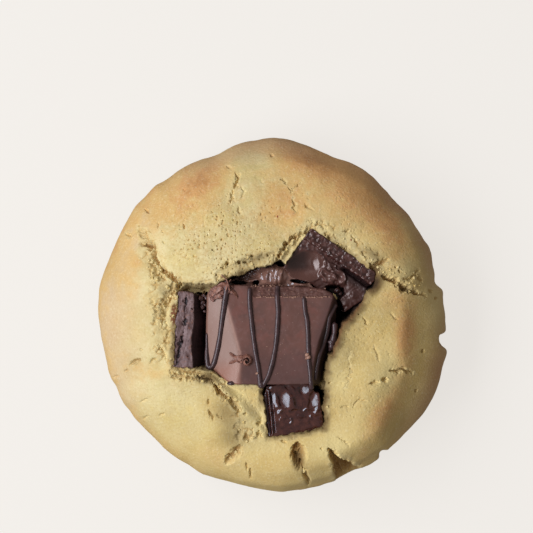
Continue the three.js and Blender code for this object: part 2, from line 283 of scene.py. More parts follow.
def thinned(data, care, want):
    """Carries a finely sampled square grid by fewer right triangles, small where the surface bends
    and large where it is plain. care weighs each point. Gives the triangles, as places in the
    flattened grid."""
    m = data.shape[0]
    n = m - 1
    err = np.zeros((m, m))

    def miss(mid, a, b):
        return np.linalg.norm(data[mid] - 0.5 * (data[a] + data[b]), axis=-1) * care[mid]

    s = 1
    while s < n:
        k, o = np.arange(0, m, 2 * s), np.arange(s, m, 2 * s)
        for (i, j), di, dj in (
            (np.meshgrid(k, o, indexing="ij"), 0, s), (np.meshgrid(o, k, indexing="ij"), s, 0),
        ):
            e = miss((i, j), (i - di, j - dj), (i + di, j + dj))
            if s > 1:
                h = s // 2
                for a in (-h, h):
                    for b in (-h, h):
                        ok = (i + a >= 0) & (i + a <= n) & (j + b >= 0) & (j + b <= n)
                        e = np.maximum(e, np.where(ok, err[np.clip(i + a, 0, n), np.clip(j + b, 0, n)], 0))
            err[i, j] = e
        i, j = np.meshgrid(o, o, indexing="ij")
        even = (i // (2 * s) + j // (2 * s)) % 2 == 0
        js = np.where(even, s, -s)
        e = miss((i, j), (i - s, j - js), (i + s, j + js))
        for a, b in ((s, 0), (-s, 0), (0, s), (0, -s)):
            e = np.maximum(e, err[i + a, j + b])
        err[i, j] = e
        s *= 2
    limit = np.partition(err.ravel(), -(want // 2))[-(want // 2)]
    keep = err > limit
    tri = np.array([[[0, 0], [n, n], [0, n]], [[n, n], [0, 0], [n, 0]]])
    done = []
    while len(tri):
        total = tri[:, 0] + tri[:, 1]
        mid = total // 2
        split = (total % 2 == 0).all(1) & keep[mid[:, 0], mid[:, 1]]
        done.append(tri[~split])
        t, c = tri[split], mid[split]
        tri = np.concatenate([np.stack([t[:, 2], t[:, 0], c], 1), np.stack([t[:, 1], t[:, 2], c], 1)])
    done = np.concatenate(done)
    flat = done[..., 0] * m + done[..., 1]
    return flat[:, [0, 2, 1]]


# ------------------------------------------------------------------------------ dough
# Outline: distance from its middle in grid steps, every 3 degrees, anticlockwise from the east
RADII = [
    171.2, 170.5, 170.5, 171.4, 164.8, 167.0, 167.8, 169.8, 170.2, 168.0, 167.8, 167.0, 167.8, 168.2,
    168.0, 168.0, 169.2, 169.5, 171.2, 171.8, 172.0, 172.0, 171.0, 170.2, 171.0, 172.0, 174.0, 175.2,
    177.2, 178.2, 178.8, 178.5, 178.0, 178.0, 177.0, 174.8, 172.0, 171.0, 172.0, 172.8, 173.0, 172.8,
    172.0, 172.8, 175.2, 175.0, 174.8, 175.2, 174.5, 173.8, 173.5, 173.0, 172.5, 172.8, 173.0, 174.0,
    175.2, 175.5, 174.8, 174.5, 173.8, 173.2, 172.8, 172.2, 171.8, 172.0, 173.0, 173.0, 171.2, 171.8,
    171.8, 170.5, 170.8, 170.5, 170.2, 170.0, 170.2, 171.0, 171.0, 170.5, 169.6, 171.0, 171.8, 171.0,
    170.5, 170.0, 170.2, 170.5, 171.0, 171.8, 173.0, 174.2, 174.0, 174.8, 175.0, 175.5, 175.0, 175.5,
    174.5, 174.5, 175.2, 176.0, 176.0, 175.4, 174.6, 175.0, 175.2, 176.0, 176.8, 178.0, 178.8, 179.2,
    178.8, 177.8, 176.5, 176.2, 177.4, 176.6, 173.6, 172.0,
]
# direction, half-width in degrees, depth in grid steps
CLEFTS = [(352.1, 1.95, 15.0), (308.8, 1.3, 6.2)]


def outline(angle, share, keep=1.0):
    at = (np.degrees(angle) % 360.0) / 3.0
    k = np.floor(at).astype(int)
    f = at - k
    p0, p1, p2, p3 = (np.array(RADII)[(k + j) % len(RADII)] for j in (-1, 0, 1, 2))
    r = p1 + 0.5 * f * (p2 - p0 + f * (2 * p0 - 5 * p1 + 4 * p2 - p3 + f * (3 * p1 - p0 - 3 * p2 + p3)))
    r = OUTLINE_MEAN + (r * CELL - OUTLINE_MEAN) * keep * share**4
    for where, half, depth in CLEFTS:
        d = angle - math.radians(where)
        d = np.arctan2(np.sin(d), np.cos(d))
        r = r - keep**3 * ramp(0.93, 0.995, share) * depth * CELL * np.exp(-np.abs(d / math.radians(half)) ** 2.4)
    return r


def swell(u, v):
    """The dough's large rise and fall, in mm."""
    d = (
        0.7 * np.sin(u / 23 + 0.6) * np.cos(v / 27 - 0.4)
        + 0.45 * np.sin((u + v) / 17 + 1.1)
        + 0.3 * np.cos((u - 1.4 * v) / 13)
    )
    d = d * 0.6
    d += 0.35 * fbm(u / 34, v / 34, 3, 5)
    d -= 1.3 * blob(u, v, 262, 147, 40, 12)
    d += 0.7 * blob(u, v, 300, 166, 40, 12, 10)
    d += 1.0 * blob(u, v, 355, 205, 45, 32)
    d += 0.8 * blob(u, v, 205, 180, 26, 18)
    # the shoulder along the eastern and south-eastern side, with a steeper wall outside it
    du, dv = u - OUTLINE_U, OUTLINE_V - v
    rr = np.hypot(du, dv)
    az = np.degrees(np.arctan2(dv, du))
    wob = 3.0 * noise(az / 9.0, 0.5, 9)
    south = ramp(-95, -64, az) * ramp(14, 0, az)
    north = ramp(2, 14, az) * ramp(96, 70, az)
    out = rr + wob - 13 * ramp(-12, -34, az)
    d += (1.8 + 1.0 * ramp(-20, -40, az)) * south * ramp(84, 130, rr) * ramp(156, 130, out)
    d += 3.5 * north * ramp(92, 142, rr) * ramp(171, 152, rr + wob)
    low = ramp(-128, -84, az) * ramp(-34, -50, az)
    d += 5.4 * low * ramp(116, 154, rr) * ramp(174.5, 160, rr + 0.5 * wob)
    d += 0.8 * blob(u, v, 399, 268, 14, 8, 20)
    d -= 0.7 * blob(u, v, 338, 408, 20, 34, 20)
    d += 0.5 * blob(u, v, 401, 338, 8, 34, 3) + 0.4 * blob(u, v, 380, 414, 9, 30, 34)
    return d


HOLLOW = [
    (173, 368), (173.5, 350), (174.5, 330), (176, 308), (177.5, 292), (179, 285), (188, 283.5),
    (197, 284.5), (205, 283.5), (210, 285), (216, 284.5), (222, 281), (228, 278), (233, 276), (242, 274.5),
    (250, 270), (257, 266.5), (264, 266.5), (270, 264), (276, 261), (280, 258.5), (283, 261), (286, 264),
    (297, 247), (311, 227.5), (345, 250.5), (376.5, 273), (376.5, 283), (372, 289), (367, 291), (364, 300),
    (358, 309), (352, 317), (344.5, 324), (341, 330), (339, 337), (336, 346), (332.5, 353), (328.5, 359),
    (326.8, 366), (326.4, 373), (326.2, 381), (326.2, 388), (326.6, 397), (325.8, 403), (323.4, 407), (323.4, 411), (326, 415), (326, 423), (324.6, 428.5),
    (310, 433.2), (297, 435.4), (284, 436.8), (268.2, 438.2), (265.5, 420), (263, 399), (262, 386), (240, 384.0), (228, 381.5), (216, 375),
    (209, 371), (193, 369.5),
]

# Cracks: points, half-width and depth in the middle, how ragged.
CRACKS = [
    # western valley between the smooth rim and the lobe over the toppings
    ([(139, 228), (143, 233), (146, 238)], 3.0, 1.1, 1.6),
    ([(141, 243), (148, 244), (153, 248)], 3.4, 2.1, 1.5),
    ([(153, 247), (153, 258), (157, 265)], 2.2, 1.8, 1.6),
    ([(156, 268), (161, 269), (165, 273)], 3.2, 2.2, 1.4),
    ([(165, 273), (170, 275), (175, 280), (179, 283)], 2.6, 1.9, 1.4),
    ([(150, 262), (156, 272), (164, 279)], 3.0, 1.0, 1.6),
    ([(126, 233), (131, 237)], 1.8, 0.8, 1.0),
    ([(175, 281), (168, 293), (165, 300), (163, 310)], 3.4, 1.1, 1.6),
    ([(152, 300), (156, 312), (155, 324)], 2.2, 0.7, 1.8),
    ([(165, 322), (167, 336), (165, 350)], 2.2, 0.8, 1.6),
    # crack in the lobe's northern half
    ([(227, 166), (230, 168)], 1.0, 0.5, 0.8),
    ([(235, 173), (238.6, 176), (236.4, 181), (235.5, 187)], 1.8, 1.3, 1.2),
    ([(233.2, 189), (231.4, 195), (233, 198), (230.2, 204)], 1.1, 0.75, 1.1),
    ([(241, 186), (243.8, 191), (241.8, 197)], 0.8, 0.4, 0.9),
    ([(238, 207), (240, 214)], 0.8, 0.5, 0.9),
    # dotted crack further east
    ([(282, 178.5), (286.3, 183)], 1.1, 0.7, 1.4),
    ([(288, 187), (292, 192)], 0.9, 0.6, 1.0),
    ([(293.5, 198), (295.4, 205), (293.6, 208), (295.4, 212)], 1.0, 0.7, 1.5),
    ([(305, 205), (313, 210)], 1.0, 0.7, 0.9),
    ([(292, 190), (301, 183)], 0.7, 0.5, 0.9),
    # between the lobe and the slope beside the north-east piece
    ([(277, 258), (280, 254), (282, 251)], 2.2, 1.6, 1.3),
    ([(282, 252), (285, 245), (289, 241)], 1.9, 1.6, 1.4),
    ([(289, 241), (294, 237), (298, 235.5)], 2.0, 1.6, 1.2),
    ([(298, 235.5), (304, 233), (309, 228)], 1.4, 1.0, 1.2),
    ([(308, 221), (318, 223), (327, 229)], 1.3, 0.6, 1.4),
    ([(326, 233), (332, 238)], 1.7, 1.1, 1.0),
    ([(337, 244), (343, 247), (350, 250)], 1.6, 0.9, 1.2),
    ([(352, 236), (358, 243)], 1.4, 0.7, 1.2),
    ([(345, 232), (350, 229)], 1.0, 0.5, 1.0),
    ([(362, 252), (368, 257)], 1.5, 0.8, 1.2),
    ([(177, 283), (172.5, 292), (167, 301), (163, 309)], 2.0, 1.5, 1.1),
    ([(159, 303), (163, 312), (161, 322)], 2.0, 0.9, 1.3),
    ([(171, 366), (180, 371.5), (190, 373.5), (200, 373)], 3.4, 1.4, 1.1),
    # eastern cracks
    ([(373, 266), (379.5, 262.3), (388, 259.5)], 2.4, 2.0, 1.1),
    ([(371, 263), (375.5, 268), (378, 276)], 3.0, 2.0, 0.7),
    ([(383, 276), (390, 279), (396, 281), (401, 286), (407, 289)], 2.8, 2.2, 1.0),
    ([(407, 289), (416, 293), (425, 296)], 1.9, 1.4, 1.4),
    ([(401, 286), (408, 289.5)], 4.2, 2.3, 1.2),
    ([(404, 279), (410, 279), (415, 275), (420, 278), (423, 282)], 1.3, 0.9, 1.1),
    ([(414, 273), (419, 270)], 1.5, 0.8, 0.8),
    # south-eastern cracks
    ([(391, 370), (397, 371.5), (402, 369), (408, 372), (413, 373)], 1.6, 1.2, 1.2),
    ([(370, 384), (375, 382.5), (379, 382)], 1.7, 1.0, 0.8),
    ([(341, 408), (345, 406.5), (349, 407.5)], 0.8, 0.35, 0.7),
    ([(353, 407.5), (356, 403), (360, 399), (367, 401.5)], 0.8, 0.4, 0.8),
    ([(338, 438), (345, 441), (349, 446)], 0.8, 0.4, 0.8),
    ([(374, 345), (378, 356), (380, 362)], 0.7, 0.3, 0.6),
    ([(350, 352), (349, 362), (351, 372), (346, 384), (344, 394)], 0.7, 0.15, 1.2),
    ([(363, 317), (368, 323)], 0.8, 0.4, 0.6),
    ([(391, 313), (394, 318), (398, 319)], 0.9, 0.4, 0.6),
    # south-western cracks
    ([(170, 372), (175.8, 376.4), (186, 378), (194, 378)], 2.6, 1.5, 1.5),
    ([(194, 378), (207, 379), (214, 383)], 2.4, 1.3, 1.5),
    ([(213, 381), (215.5, 387), (217.5, 391), (223, 395), (229, 398)], 2.2, 2.0, 1.4),
    ([(229, 398), (236, 405), (239, 413)], 3.4, 1.5, 1.3),
    ([(208, 400), (209, 404)], 1.0, 0.7, 0.8),
    ([(209, 410), (211, 416), (213, 420)], 1.4, 1.0, 1.0),
    ([(218, 416), (222, 419)], 1.1, 0.8, 0.8),
    ([(159, 416), (164, 413)], 0.9, 0.6, 0.5),
    ([(141, 402), (148, 398)], 0.8, 0.35, 0.5),
    ([(143, 419), (148, 416)], 0.8, 0.35, 0.5),
    # bottom
    ([(240, 447), (236, 453), (231, 458), (226, 463)], 4.6, 2.0, 1.0),
    ([(244, 437), (250, 440)], 2.8, 1.3, 1.0),
    ([(257, 433), (262, 436)], 2.0, 0.9, 1.0),
    ([(237, 424), (240, 434), (238, 440)], 3.4, 0.7, 1.2),
    ([(250, 469), (251, 478)], 1.0, 0.8, 0.5),
    ([(246, 463), (247, 470)], 1.0, 0.6, 0.5),
    ([(304, 470), (306, 477), (309, 484)], 2.6, 1.6, 0.7),
    # western rim
    ([(130, 365), (133, 362), (140, 360)], 2.2, 1.3, 1.0),
    ([(150, 362), (155, 359)], 2.0, 0.9, 1.0),
    ([(158, 345), (161, 352), (165, 360)], 1.4, 0.7, 1.2),
    ([(124, 372), (128, 370)], 1.3, 0.8, 0.5),
    ([(114, 377), (119, 376)], 1.2, 0.5, 0.5),
]
# Open hollows at the southern edge: outline, depth, how ragged, how soft the wall is.
CAVITIES = [
    ([(296, 442), (302, 444), (306, 450), (306.5, 458), (305, 465), (304, 471), (299, 470), (293, 464),
      (290, 456), (291.5, 447)], 3.2, 0.9, 5.0),
    ([(328, 448.5), (332.5, 449.5), (336.5, 453), (339, 457), (342.5, 460.5), (348, 460.8), (352, 463), (355.5, 466.5),
      (362, 465.5), (358, 473), (350, 480), (340, 486), (336.5, 482), (334, 474), (332, 464), (329, 455)], 4.0, 1.2, 5.0),
]
# Single pits: u, v, half-length, half-width, turn, depth
PITS = [
    (400, 271, 2.0, 1.3, 70, 1.0), (396, 267, 1.2, 1.0, 0, 0.6), (430, 291, 2.4, 1.6, 40, 1.0),
    (436, 298, 1.8, 1.4, 0, 0.8), (385, 380, 3.2, 2.6, 0, 1.3), (423, 351, 1.6, 1.8, 0, 0.9),
    (416, 391, 1.6, 1.6, 0, 0.7), (272, 155, 1.8, 1.3, 20, 0.8), (245, 414, 1.6, 1.2, 0, 0.9),
    (259, 424, 2.6, 2.0, 0, 0.9), (259, 431, 1.4, 1.2, 0, 0.6), (275, 437, 2.2, 2.2, 0, 0.9),
    (284, 442, 3.0, 1.4, 20, 0.8), (307, 206, 1.3, 1.0, 0, 0.7),
    (351, 319, 1.2, 1.2, 0, 0.6), (359, 314, 1.2, 1.0, 0, 0.6), (330, 383, 1.1, 1.0, 0, 0.6),
    (366, 324, 1.2, 0.9, 30, 0.5), (158, 225, 1.0, 3.2, 0, 0.5), (147, 211, 3.0, 1.3, 40, 0.7),
    (184, 226, 0.8, 2.8, -8, 0.7), (184, 190, 1.6, 1.2, 0, 0.4), (162, 231, 1.6, 0.8, 40, 0.5),
    (194, 256, 1.4, 1.2, 0, 0.5), (141, 350, 2.0, 1.2, 10, 0.6), (163, 242, 0.8, 1.8, -30, 0.6),
    (321, 449, 1.3, 1.0, 0, 0.6), (213, 250, 1.4, 0.7, 30, 0.6), (245, 262, 2.4, 1.3, -20, 1.0),
    (227, 263, 2.2, 1.4, -60, 1.0), (239, 262, 1.8, 1.6, 0, 1.3), (222, 267, 2.0, 1.0, -30, 0.8),
    (252, 256, 1.4, 1.0, 0, 0.7), (268, 255, 1.6, 1.0, 0, 0.7),
]
# Where the open crumb shows between the smooth skin and the toppings.
CRUMB_ZONES = [
    ([(138, 228), (149, 233), (154, 248), (160, 264), (176, 279), (179, 290), (175, 330), (173, 368),
      (160, 364), (152, 350), (157, 322), (148, 300), (149, 276), (140, 252)], 7.0, 1.0),
    ([(170, 367), (213, 370), (230, 382), (222, 388), (236, 402), (242, 414), (252, 428), (262, 432),
      (256, 442), (240, 436), (232, 410), (214, 392), (206, 382), (172, 381)], 3.0, 0.9),
    ([(284, 258), (278, 252), (294, 232), (311, 219), (332, 226), (354, 238), (374, 252), (388, 260),
      (378, 272), (345, 250), (311, 227), (296, 248)], 5.0, 1.0),
    ([(376, 262), (390, 257), (402, 270), (418, 272), (428, 288), (420, 297), (404, 292), (388, 281),
      (374, 276)], 4.0, 0.32),
    ([(376, 284), (362, 304), (346, 323), (341, 336), (331, 360), (328, 376), (331, 398), (327, 426),
      (318, 426), (320, 372), (332, 330), (364, 296)], 2.5, 0.75),
    ([(176, 276), (190, 280), (210, 280), (222, 266), (240, 258), (256, 253), (276, 250), (282, 258),
      (256, 272), (232, 284), (206, 290), (180, 290)], 3.0, 0.75),
    ([(296, 440), (308, 446), (308, 466), (312, 484), (298, 484), (291, 464), (289, 450)], 3.0, 0.3),
    ([(326, 446), (340, 452), (360, 466), (362, 478), (332, 486), (330, 466)], 3.0, 0.8),
    ([(232, 440), (246, 444), (244, 456), (230, 468), (222, 466), (226, 452)], 3.0, 0.45),
]


def near_box(u, v, line, pad):
    p = np.asarray(line, float)
    return (
        (u > p[:, 0].min() - pad) & (u < p[:, 0].max() + pad)
        & (v > p[:, 1].min() - pad) & (v < p[:, 1].max() + pad)
    )


def signed_near(u, v, poly, pad):
    out = np.full(np.shape(u), -float(pad))
    near = near_box(u, v, poly, pad)
    out[near] = signed(u[near], v[near], poly)
    return out


def zone(u, v, poly, soft, seed):
    out = np.zeros(np.shape(u))
    near = near_box(u, v, poly, soft + 6)
    a, b = u[near], v[near]
    p = a + 3.0 * noise(a / 7, b / 7, seed) + 1.2 * noise(a / 2.6, b / 2.6, seed + 3)
    q = b + 3.0 * noise(a / 7, b / 7, seed + 9) + 1.2 * noise(a / 2.6, b / 2.6, seed + 12)
    out[near] = ramp(-soft, soft * 0.35, signed(p, q, poly))
    return out


def crown(near, reach=0.8):
    return np.sqrt(np.maximum(0, 1 - (near / reach) ** 2))


GRID = 1024
DOUGH_TRIS = 190000


def dough():
    n = GRID
    rho, theta, _, rim = disc_grid(n)
    # the section from the crown, over the widest ring and down to the base, stepped by its length
    a = np.linspace(0, math.pi / 2, 500)
    upper = np.stack([
        np.sin(a) ** 0.8, WIDEST_Z + (DOME_Z - WIDEST_Z) * np.maximum(0, np.cos(a)) ** 0.92,
        np.sin(a) ** 2.2,
    ], -1)
    prof = np.array([(1.0, 10), (0.998, 7.4), (0.985, 4.8), (0.962, 2.4), (0.932, 0.7), (0.9, 0)])
    t = np.linspace(0, 5, 81)[1:]
    k = np.minimum(t.astype(int), 4)
    f = (t - k)[:, None]
    p0, p1 = prof[np.maximum(k - 1, 0)], prof[k]
    p2, p3 = prof[k + 1], prof[np.minimum(k + 2, 5)]
    side = 0.5 * (
        2 * p1 + (p2 - p0) * f + (2 * p0 - 5 * p1 + 4 * p2 - p3) * f**2
        + (3 * p1 - p0 - 3 * p2 + p3) * f**3
    )
    side[-1] = prof[-1]
    side = np.maximum(side, 0)
    lower = np.concatenate([side, ramp(0.88, 1.0, side[:, :1])], -1)
    sec = np.concatenate([upper, lower])
    step = np.hypot(np.diff(sec[:, 0]) * OUTLINE_MEAN, np.diff(sec[:, 1]))
    step = step * (1 - 0.45 * ramp(14, 9, 0.5 * (sec[1:, 1] + sec[:-1, 1])))
    run = np.concatenate([[0], np.cumsum(step)]) / step.sum()
    share, z, out = (np.interp(rho, run, sec[:, c]) for c in range(3))
    below = np.interp(rho, run, (np.arange(len(sec)) >= 500).astype(float)) > 0.5

    r = share * outline(theta, np.where(below, 1.0, share), 1 - 0.75 * ramp(9.5, 2.0, z) * below)
    cx, cy = plan(OUTLINE_U, OUTLINE_V, WIDEST_Z)
    ct, st = np.cos(theta), np.sin(theta)
    x, y = cx + r * ct, cy + r * st
    u, v = grid(x, y, z)
    fade = ramp(1.2, 8.0, z)
    d = swell(u, v) * fade
    x, y, z = x + 0.3 * d * out * ct, y + 0.3 * d * out * st, z + d * (1 - 0.75 * out)
    u, v = grid(x, y, z)
    top = ramp(7, 13, z)

    # masks
    crumb = np.zeros(len(u))
    for i, (poly, soft, strength) in enumerate(CRUMB_ZONES):
        crumb = np.maximum(crumb, strength * zone(u, v, poly, soft, 40 + i))
    cut = np.zeros(len(u))
    for i, (line, w, depth, rag) in enumerate(CRACKS):
        near = near_box(u, v, line, 4 * w + 7)
        if not near.any():
            continue
        uu, vv = u[near], v[near]
        ju = uu + rag * (1.2 * noise(uu / 5.5, vv / 5.5, 71 + i) + 1.0 * noise(uu / 2.4, vv / 2.4, 91 + i)
                         + 0.22 * noise(uu / 1.2, vv / 1.2, 111 + i))
        jv = vv + rag * (1.2 * noise(uu / 5.5, vv / 5.5, 171 + i) + 1.0 * noise(uu / 2.4, vv / 2.4, 191 + i)
                         + 0.22 * noise(uu / 1.2, vv / 1.2, 211 + i))
        dist, along = line_dist(ju, jv, line)
        body = 0.45 + 0.55 * np.clip(np.minimum(along, 1 - along) * 4, 0.0, 1) ** 0.6
        width = w * body * (1 + 0.45 * rag * noise(uu / 3.7, vv / 3.7, 231 + i))
        profile = 1 - ramp(0.05 * width, 1.25 * width + 0.55, dist)
        cut[near] = np.maximum(cut[near], depth * body * profile)
        edge = rag * 0.55 * (1 - ramp(width, width + 3.5, dist))
        crumb[near] = np.maximum(crumb[near], edge)
    for i, (poly, depth, rag, soft) in enumerate(CAVITIES):
        near = near_box(u, v, poly, 12)
        uu, vv = u[near], v[near]
        ju = uu + rag * (1.3 * noise(uu / 5, vv / 5, 251 + i) + 0.9 * noise(uu / 2.1, vv / 2.1, 261 + i))
        jv = vv + rag * (1.3 * noise(uu / 5, vv / 5, 271 + i) + 0.9 * noise(uu / 2.1, vv / 2.1, 281 + i))
        sd = signed(ju, jv, poly)
        lump = 1 + 0.30 * noise(uu / 6, vv / 6, 291 + i) + 0.22 * noise(uu / 2.6, vv / 2.6, 295 + i)
        cut[near] = np.maximum(cut[near], depth * lump * ramp(-1.2, soft, sd))
        crumb[near] *= 1 - 0.85 * ramp(-0.5, 2.0, sd)
    for i, (pu, pv, rl, rw, turn, depth) in enumerate(PITS):
        near = (np.abs(u - pu) < 12) & (np.abs(v - pv) < 12)
        uu, vv = u[near], v[near]
        ju = uu + 0.8 * noise(uu / 2.6, vv / 2.6, 300 + i) + 0.4 * noise(uu / 1.2, vv / 1.2, 350 + i)
        jv = vv + 0.8 * noise(uu / 2.6, vv / 2.6, 400 + i) + 0.4 * noise(uu / 1.2, vv / 1.2, 450 + i)
        q = np.sqrt(-np.log(np.maximum(blob(ju, jv, pu, pv, rl, rw, turn), 1e-9)))
        cut[near] = np.maximum(cut[near], depth * (1 - ramp(0.4, 1.3, q)))

    # local slopes: the slope west of the north-east piece, the tongue of dough to the south
    sink = 1.5 * ramp(-1.5, 6, signed_near(u, v, [(285, 245), (297, 235), (312, 228), (284, 268), (280, 258)], 8))
    sink += 1.5 * ramp(-1.0, 9, signed_near(u, v, [(212, 374), (219, 387), (231, 398), (242, 408), (256, 424),
                                                   (266, 434), (270, 386), (240, 384), (225, 380)], 12))
    # the broken edge that runs along the lobe above the toppings
    wu = u + 1.8 * noise(u / 5, v / 5, 3) + 0.8 * noise(u / 2, v / 2, 13)
    wv = v + 1.8 * noise(u / 5, v / 5, 4) + 0.8 * noise(u / 2, v / 2, 14)
    strip = [(214, 274), (222, 268), (227, 262), (239, 262), (245, 258), (254, 256.5), (276, 251),
             (283, 262), (262, 272), (240, 280), (218, 286)]
    sink += 0.55 * ramp(-2.0, 2.6, signed_near(wu, wv, strip, 8))
    # shelf of dough seen below the lobe, north of the west piece
    sink += 2.0 * ramp(-0.8, 1.6, signed_near(wu, wv, [(176, 281.5), (190, 283.5), (208, 284.5), (220, 283),
                                                       (222, 292), (176, 294)], 6))
    # western valley: a broad dip beside the lobe's edge
    near = (u < 200) & (u > 120) & (v > 210) & (v < 390)
    dist, along = line_dist(u[near], v[near], [(143, 232), (151, 254), (161, 274), (166, 300), (165, 330), (163, 364)])
    sink[near] += 1.1 * np.exp(-((dist / 8.5) ** 2)) * ramp(0, 0.12, along)

    # the hollow under the toppings
    rag_u = u + 1.4 * noise(u / 5.6, v / 5.6, 21) + 0.16 * noise(u / 2.6, v / 2.6, 23)
    rag_v = v + 1.4 * noise(u / 5.6, v / 5.6, 22) + 0.16 * noise(u / 2.6, v / 2.6, 24)
    sd = signed_near(rag_u, rag_v, HOLLOW, 12)
    lip = 0.55 * ramp(-6.0, 0, sd) ** 2
    open_ = 0.34 * ramp(-0.3, 2.2, sd) + 0.66 * ramp(0.6, 5.6, sd)
    crumb = np.maximum(crumb, 0.55 * ramp(-7.0, -1.5, sd))

    # grain
    hx, hy = x + 0.6 * z, y + 0.8 * z
    lobe = blob(u, v, 228, 240, 66, 46)
    fine = 0.12 * fbm(hx / 3.8, hy / 3.8, 2, 31) + (0.018 + 0.042 * lobe) * noise(hx / 0.75, hy / 0.75, 33)
    fine += (0.010 + 0.024 * lobe) * noise(hx / 0.40, hy / 0.40, 34)
    coarse = np.zeros(len(u))
    gap = np.zeros(len(u))
    m = crumb > 0.02
    gx = x[m] + 0.35 * noise(x[m] / 1.3, y[m] / 1.3, 36)
    gy = y[m] + 0.35 * noise(x[m] / 1.3, y[m] / 1.3, 37)
    a1, a2 = grains(gx, gy, 1.5, 38)
    b1, b2 = grains(gx + 3.3, gy - 1.7, 0.68, 40)
    patch = 0.6 + 0.6 * noise(x[m] / 3.1, y[m] / 3.1, 42)
    rough = 0.19 * (crown(a1) - 0.6) * patch + 0.075 * (crown(b1) - 0.6) + 0.22 * noise(x[m] / 1.9, y[m] / 1.9, 43)
    hole = (1 - ramp(0.04, 0.36, a2 - a1)) * ramp(0.05, 0.4, noise(x[m] / 2.2, y[m] / 2.2, 44) + 0.1)
    coarse[m] = crumb[m] * (rough - 0.26 * hole)
    # painted shade in the holes between crumbs
    gap[m] = crumb[m] * np.clip(hole + 0.25 * (1 - ramp(0.02, 0.2, b2 - b1)), 0, 1)
    skin = 1 - 0.75 * ramp(0.66, 0.92, share)
    m = (share < 0.97) & (z > 9)
    px, py = x[m], y[m]
    pore = scatter_pits(px, py, 1.15, 61, 0.70, 0.13, 0.28, 1.6)
    pore = np.maximum(pore, scatter_pits(px + 9.1, py - 3.3, 2.6, 67, 0.20, 0.16, 0.36, 2.0))
    dense = 0.25 + 0.75 * ramp(-0.25, 0.25, noise(px / 8, py / 8, 35))
    pores = np.zeros(len(u))
    pores[m] = pore * dense * skin[m] * (0.35 + 0.8 * lobe[m])
    pores = np.clip(pores, 0, 1)

    down = cut + sink + lip + 0.38 * pores - fine - coarse
    down = down - cut * (1 - ramp(7.5, 17, z))
    down = down * top + (-0.6 * fine) * (1 - top) * fade
    x = x - down * out * ct
    y = y - down * out * st
    z = z - down * (1 - 0.75 * out)
    floor = 16.8 + 0.6 * fbm(x / 5, y / 5, 3, 51)
    shelf = ramp(-1.5, 2.0, signed_near(wu, wv, [(168, 276), (190, 276), (224, 272), (218, 291), (206, 294), (172, 294)], 6))
    floor = floor + 7.0 * shelf
    corner = ramp(-2.5, 1.5, signed_near(wu, wv, [(313, 372), (322, 368), (330, 380), (331, 394), (322, 391), (314, 388)], 6))
    floor = floor + 6.6 * corner
    z = np.where((share > 0) & (z > floor) & ~below, z - (z - floor) * open_ * top, z)
    # lumps on the hollow's walls, changing with the height as well
    wall = 4 * open_ * (1 - open_) * top * ~below
    kx, ky = x + 0.9 * z, y - 0.7 * z
    x = x + wall * (0.42 * noise(kx / 1.7, ky / 1.7, 46) + 0.18 * noise(kx / 0.75, ky / 0.75, 48))
    y = y + wall * (0.42 * noise(kx / 1.7 + 9.3, ky / 1.7, 46) + 0.18 * noise(kx / 0.75 + 9.3, ky / 0.75, 48))
    z = np.maximum(z, 0.0)
    z[rim] = 0.0

    # colour masks
    du, dv = u - OUTLINE_U, OUTLINE_V - v
    rr, az = np.hypot(du, dv), np.degrees(np.arctan2(dv, du))
    brown = (
        0.72 * blob(u, v, 202, 178, 27, 14, -30) * (1 - 0.75 * ramp(160, 168, rr))
        + 0.42 * blob(u, v, 189, 194, 40, 24, -36)
        + 0.22 * blob(u, v, 196, 205, 46, 34, -32)
        + 0.95 * blob(u, v, 310, 160, 38, 13, 12)
        + 0.92 * blob(u, v, 352, 186, 46, 24, 36)
        + 0.72 * blob(u, v, 392, 230, 42, 20, 60)
        + 0.70 * blob(u, v, 285, 203, 30, 34)
        + 0.30 * blob(u, v, 340, 214, 26, 14, 36)
        + 1.0 * blob(u, v, 405.5, 336, 11, 34, 3)
        + 0.45 * blob(u, v, 392, 300, 16, 12)
        + 0.8 * blob(u, v, 383, 413, 11, 32, 34)
        + 0.22 * blob(u, v, 364, 457, 6, 9, 10)
        + 0.45 * blob(u, v, 436, 372, 9, 26)
        + 0.25 * blob(u, v, 215, 458, 34, 11, 28)
        + 0.25 * blob(u, v, 150, 212, 22, 26, 30)
        + 0.38 * blob(u, v, 124, 266, 20, 46, -8)
        + 0.30 * blob(u, v, 150, 372, 34, 14, 10)
        + 0.40 * blob(u, v, 136.5, 263, 5, 6)
    )
    edge = ramp(0.90, 1.0, share)
    brown = brown + (0.35 - 0.2 * ramp(-40, -60, az) * ramp(-130, -100, az)) * edge * (z > 5) + 0.16 * fbm(u / 16, v / 16, 4, 81)
    brown = brown * (1 + 0.5 * fbm(u / 7, v / 7, 3, 82))
    west = ramp(158, 104, u + 8 * noise(u / 17, v / 17, 83))
    west = np.maximum(west, 0.85 * ramp(138, 158, rr) * ramp(112, 128, az) * ramp(176, 164, az))
    # painted shade: cracks and cavities darker with their depth
    deep = np.clip(cut / 2.6, 0, 0.85) * ramp(5, 14, z)
    shade = ramp(12, 3, z)
    brown = np.maximum(brown, 0.65 * shade)
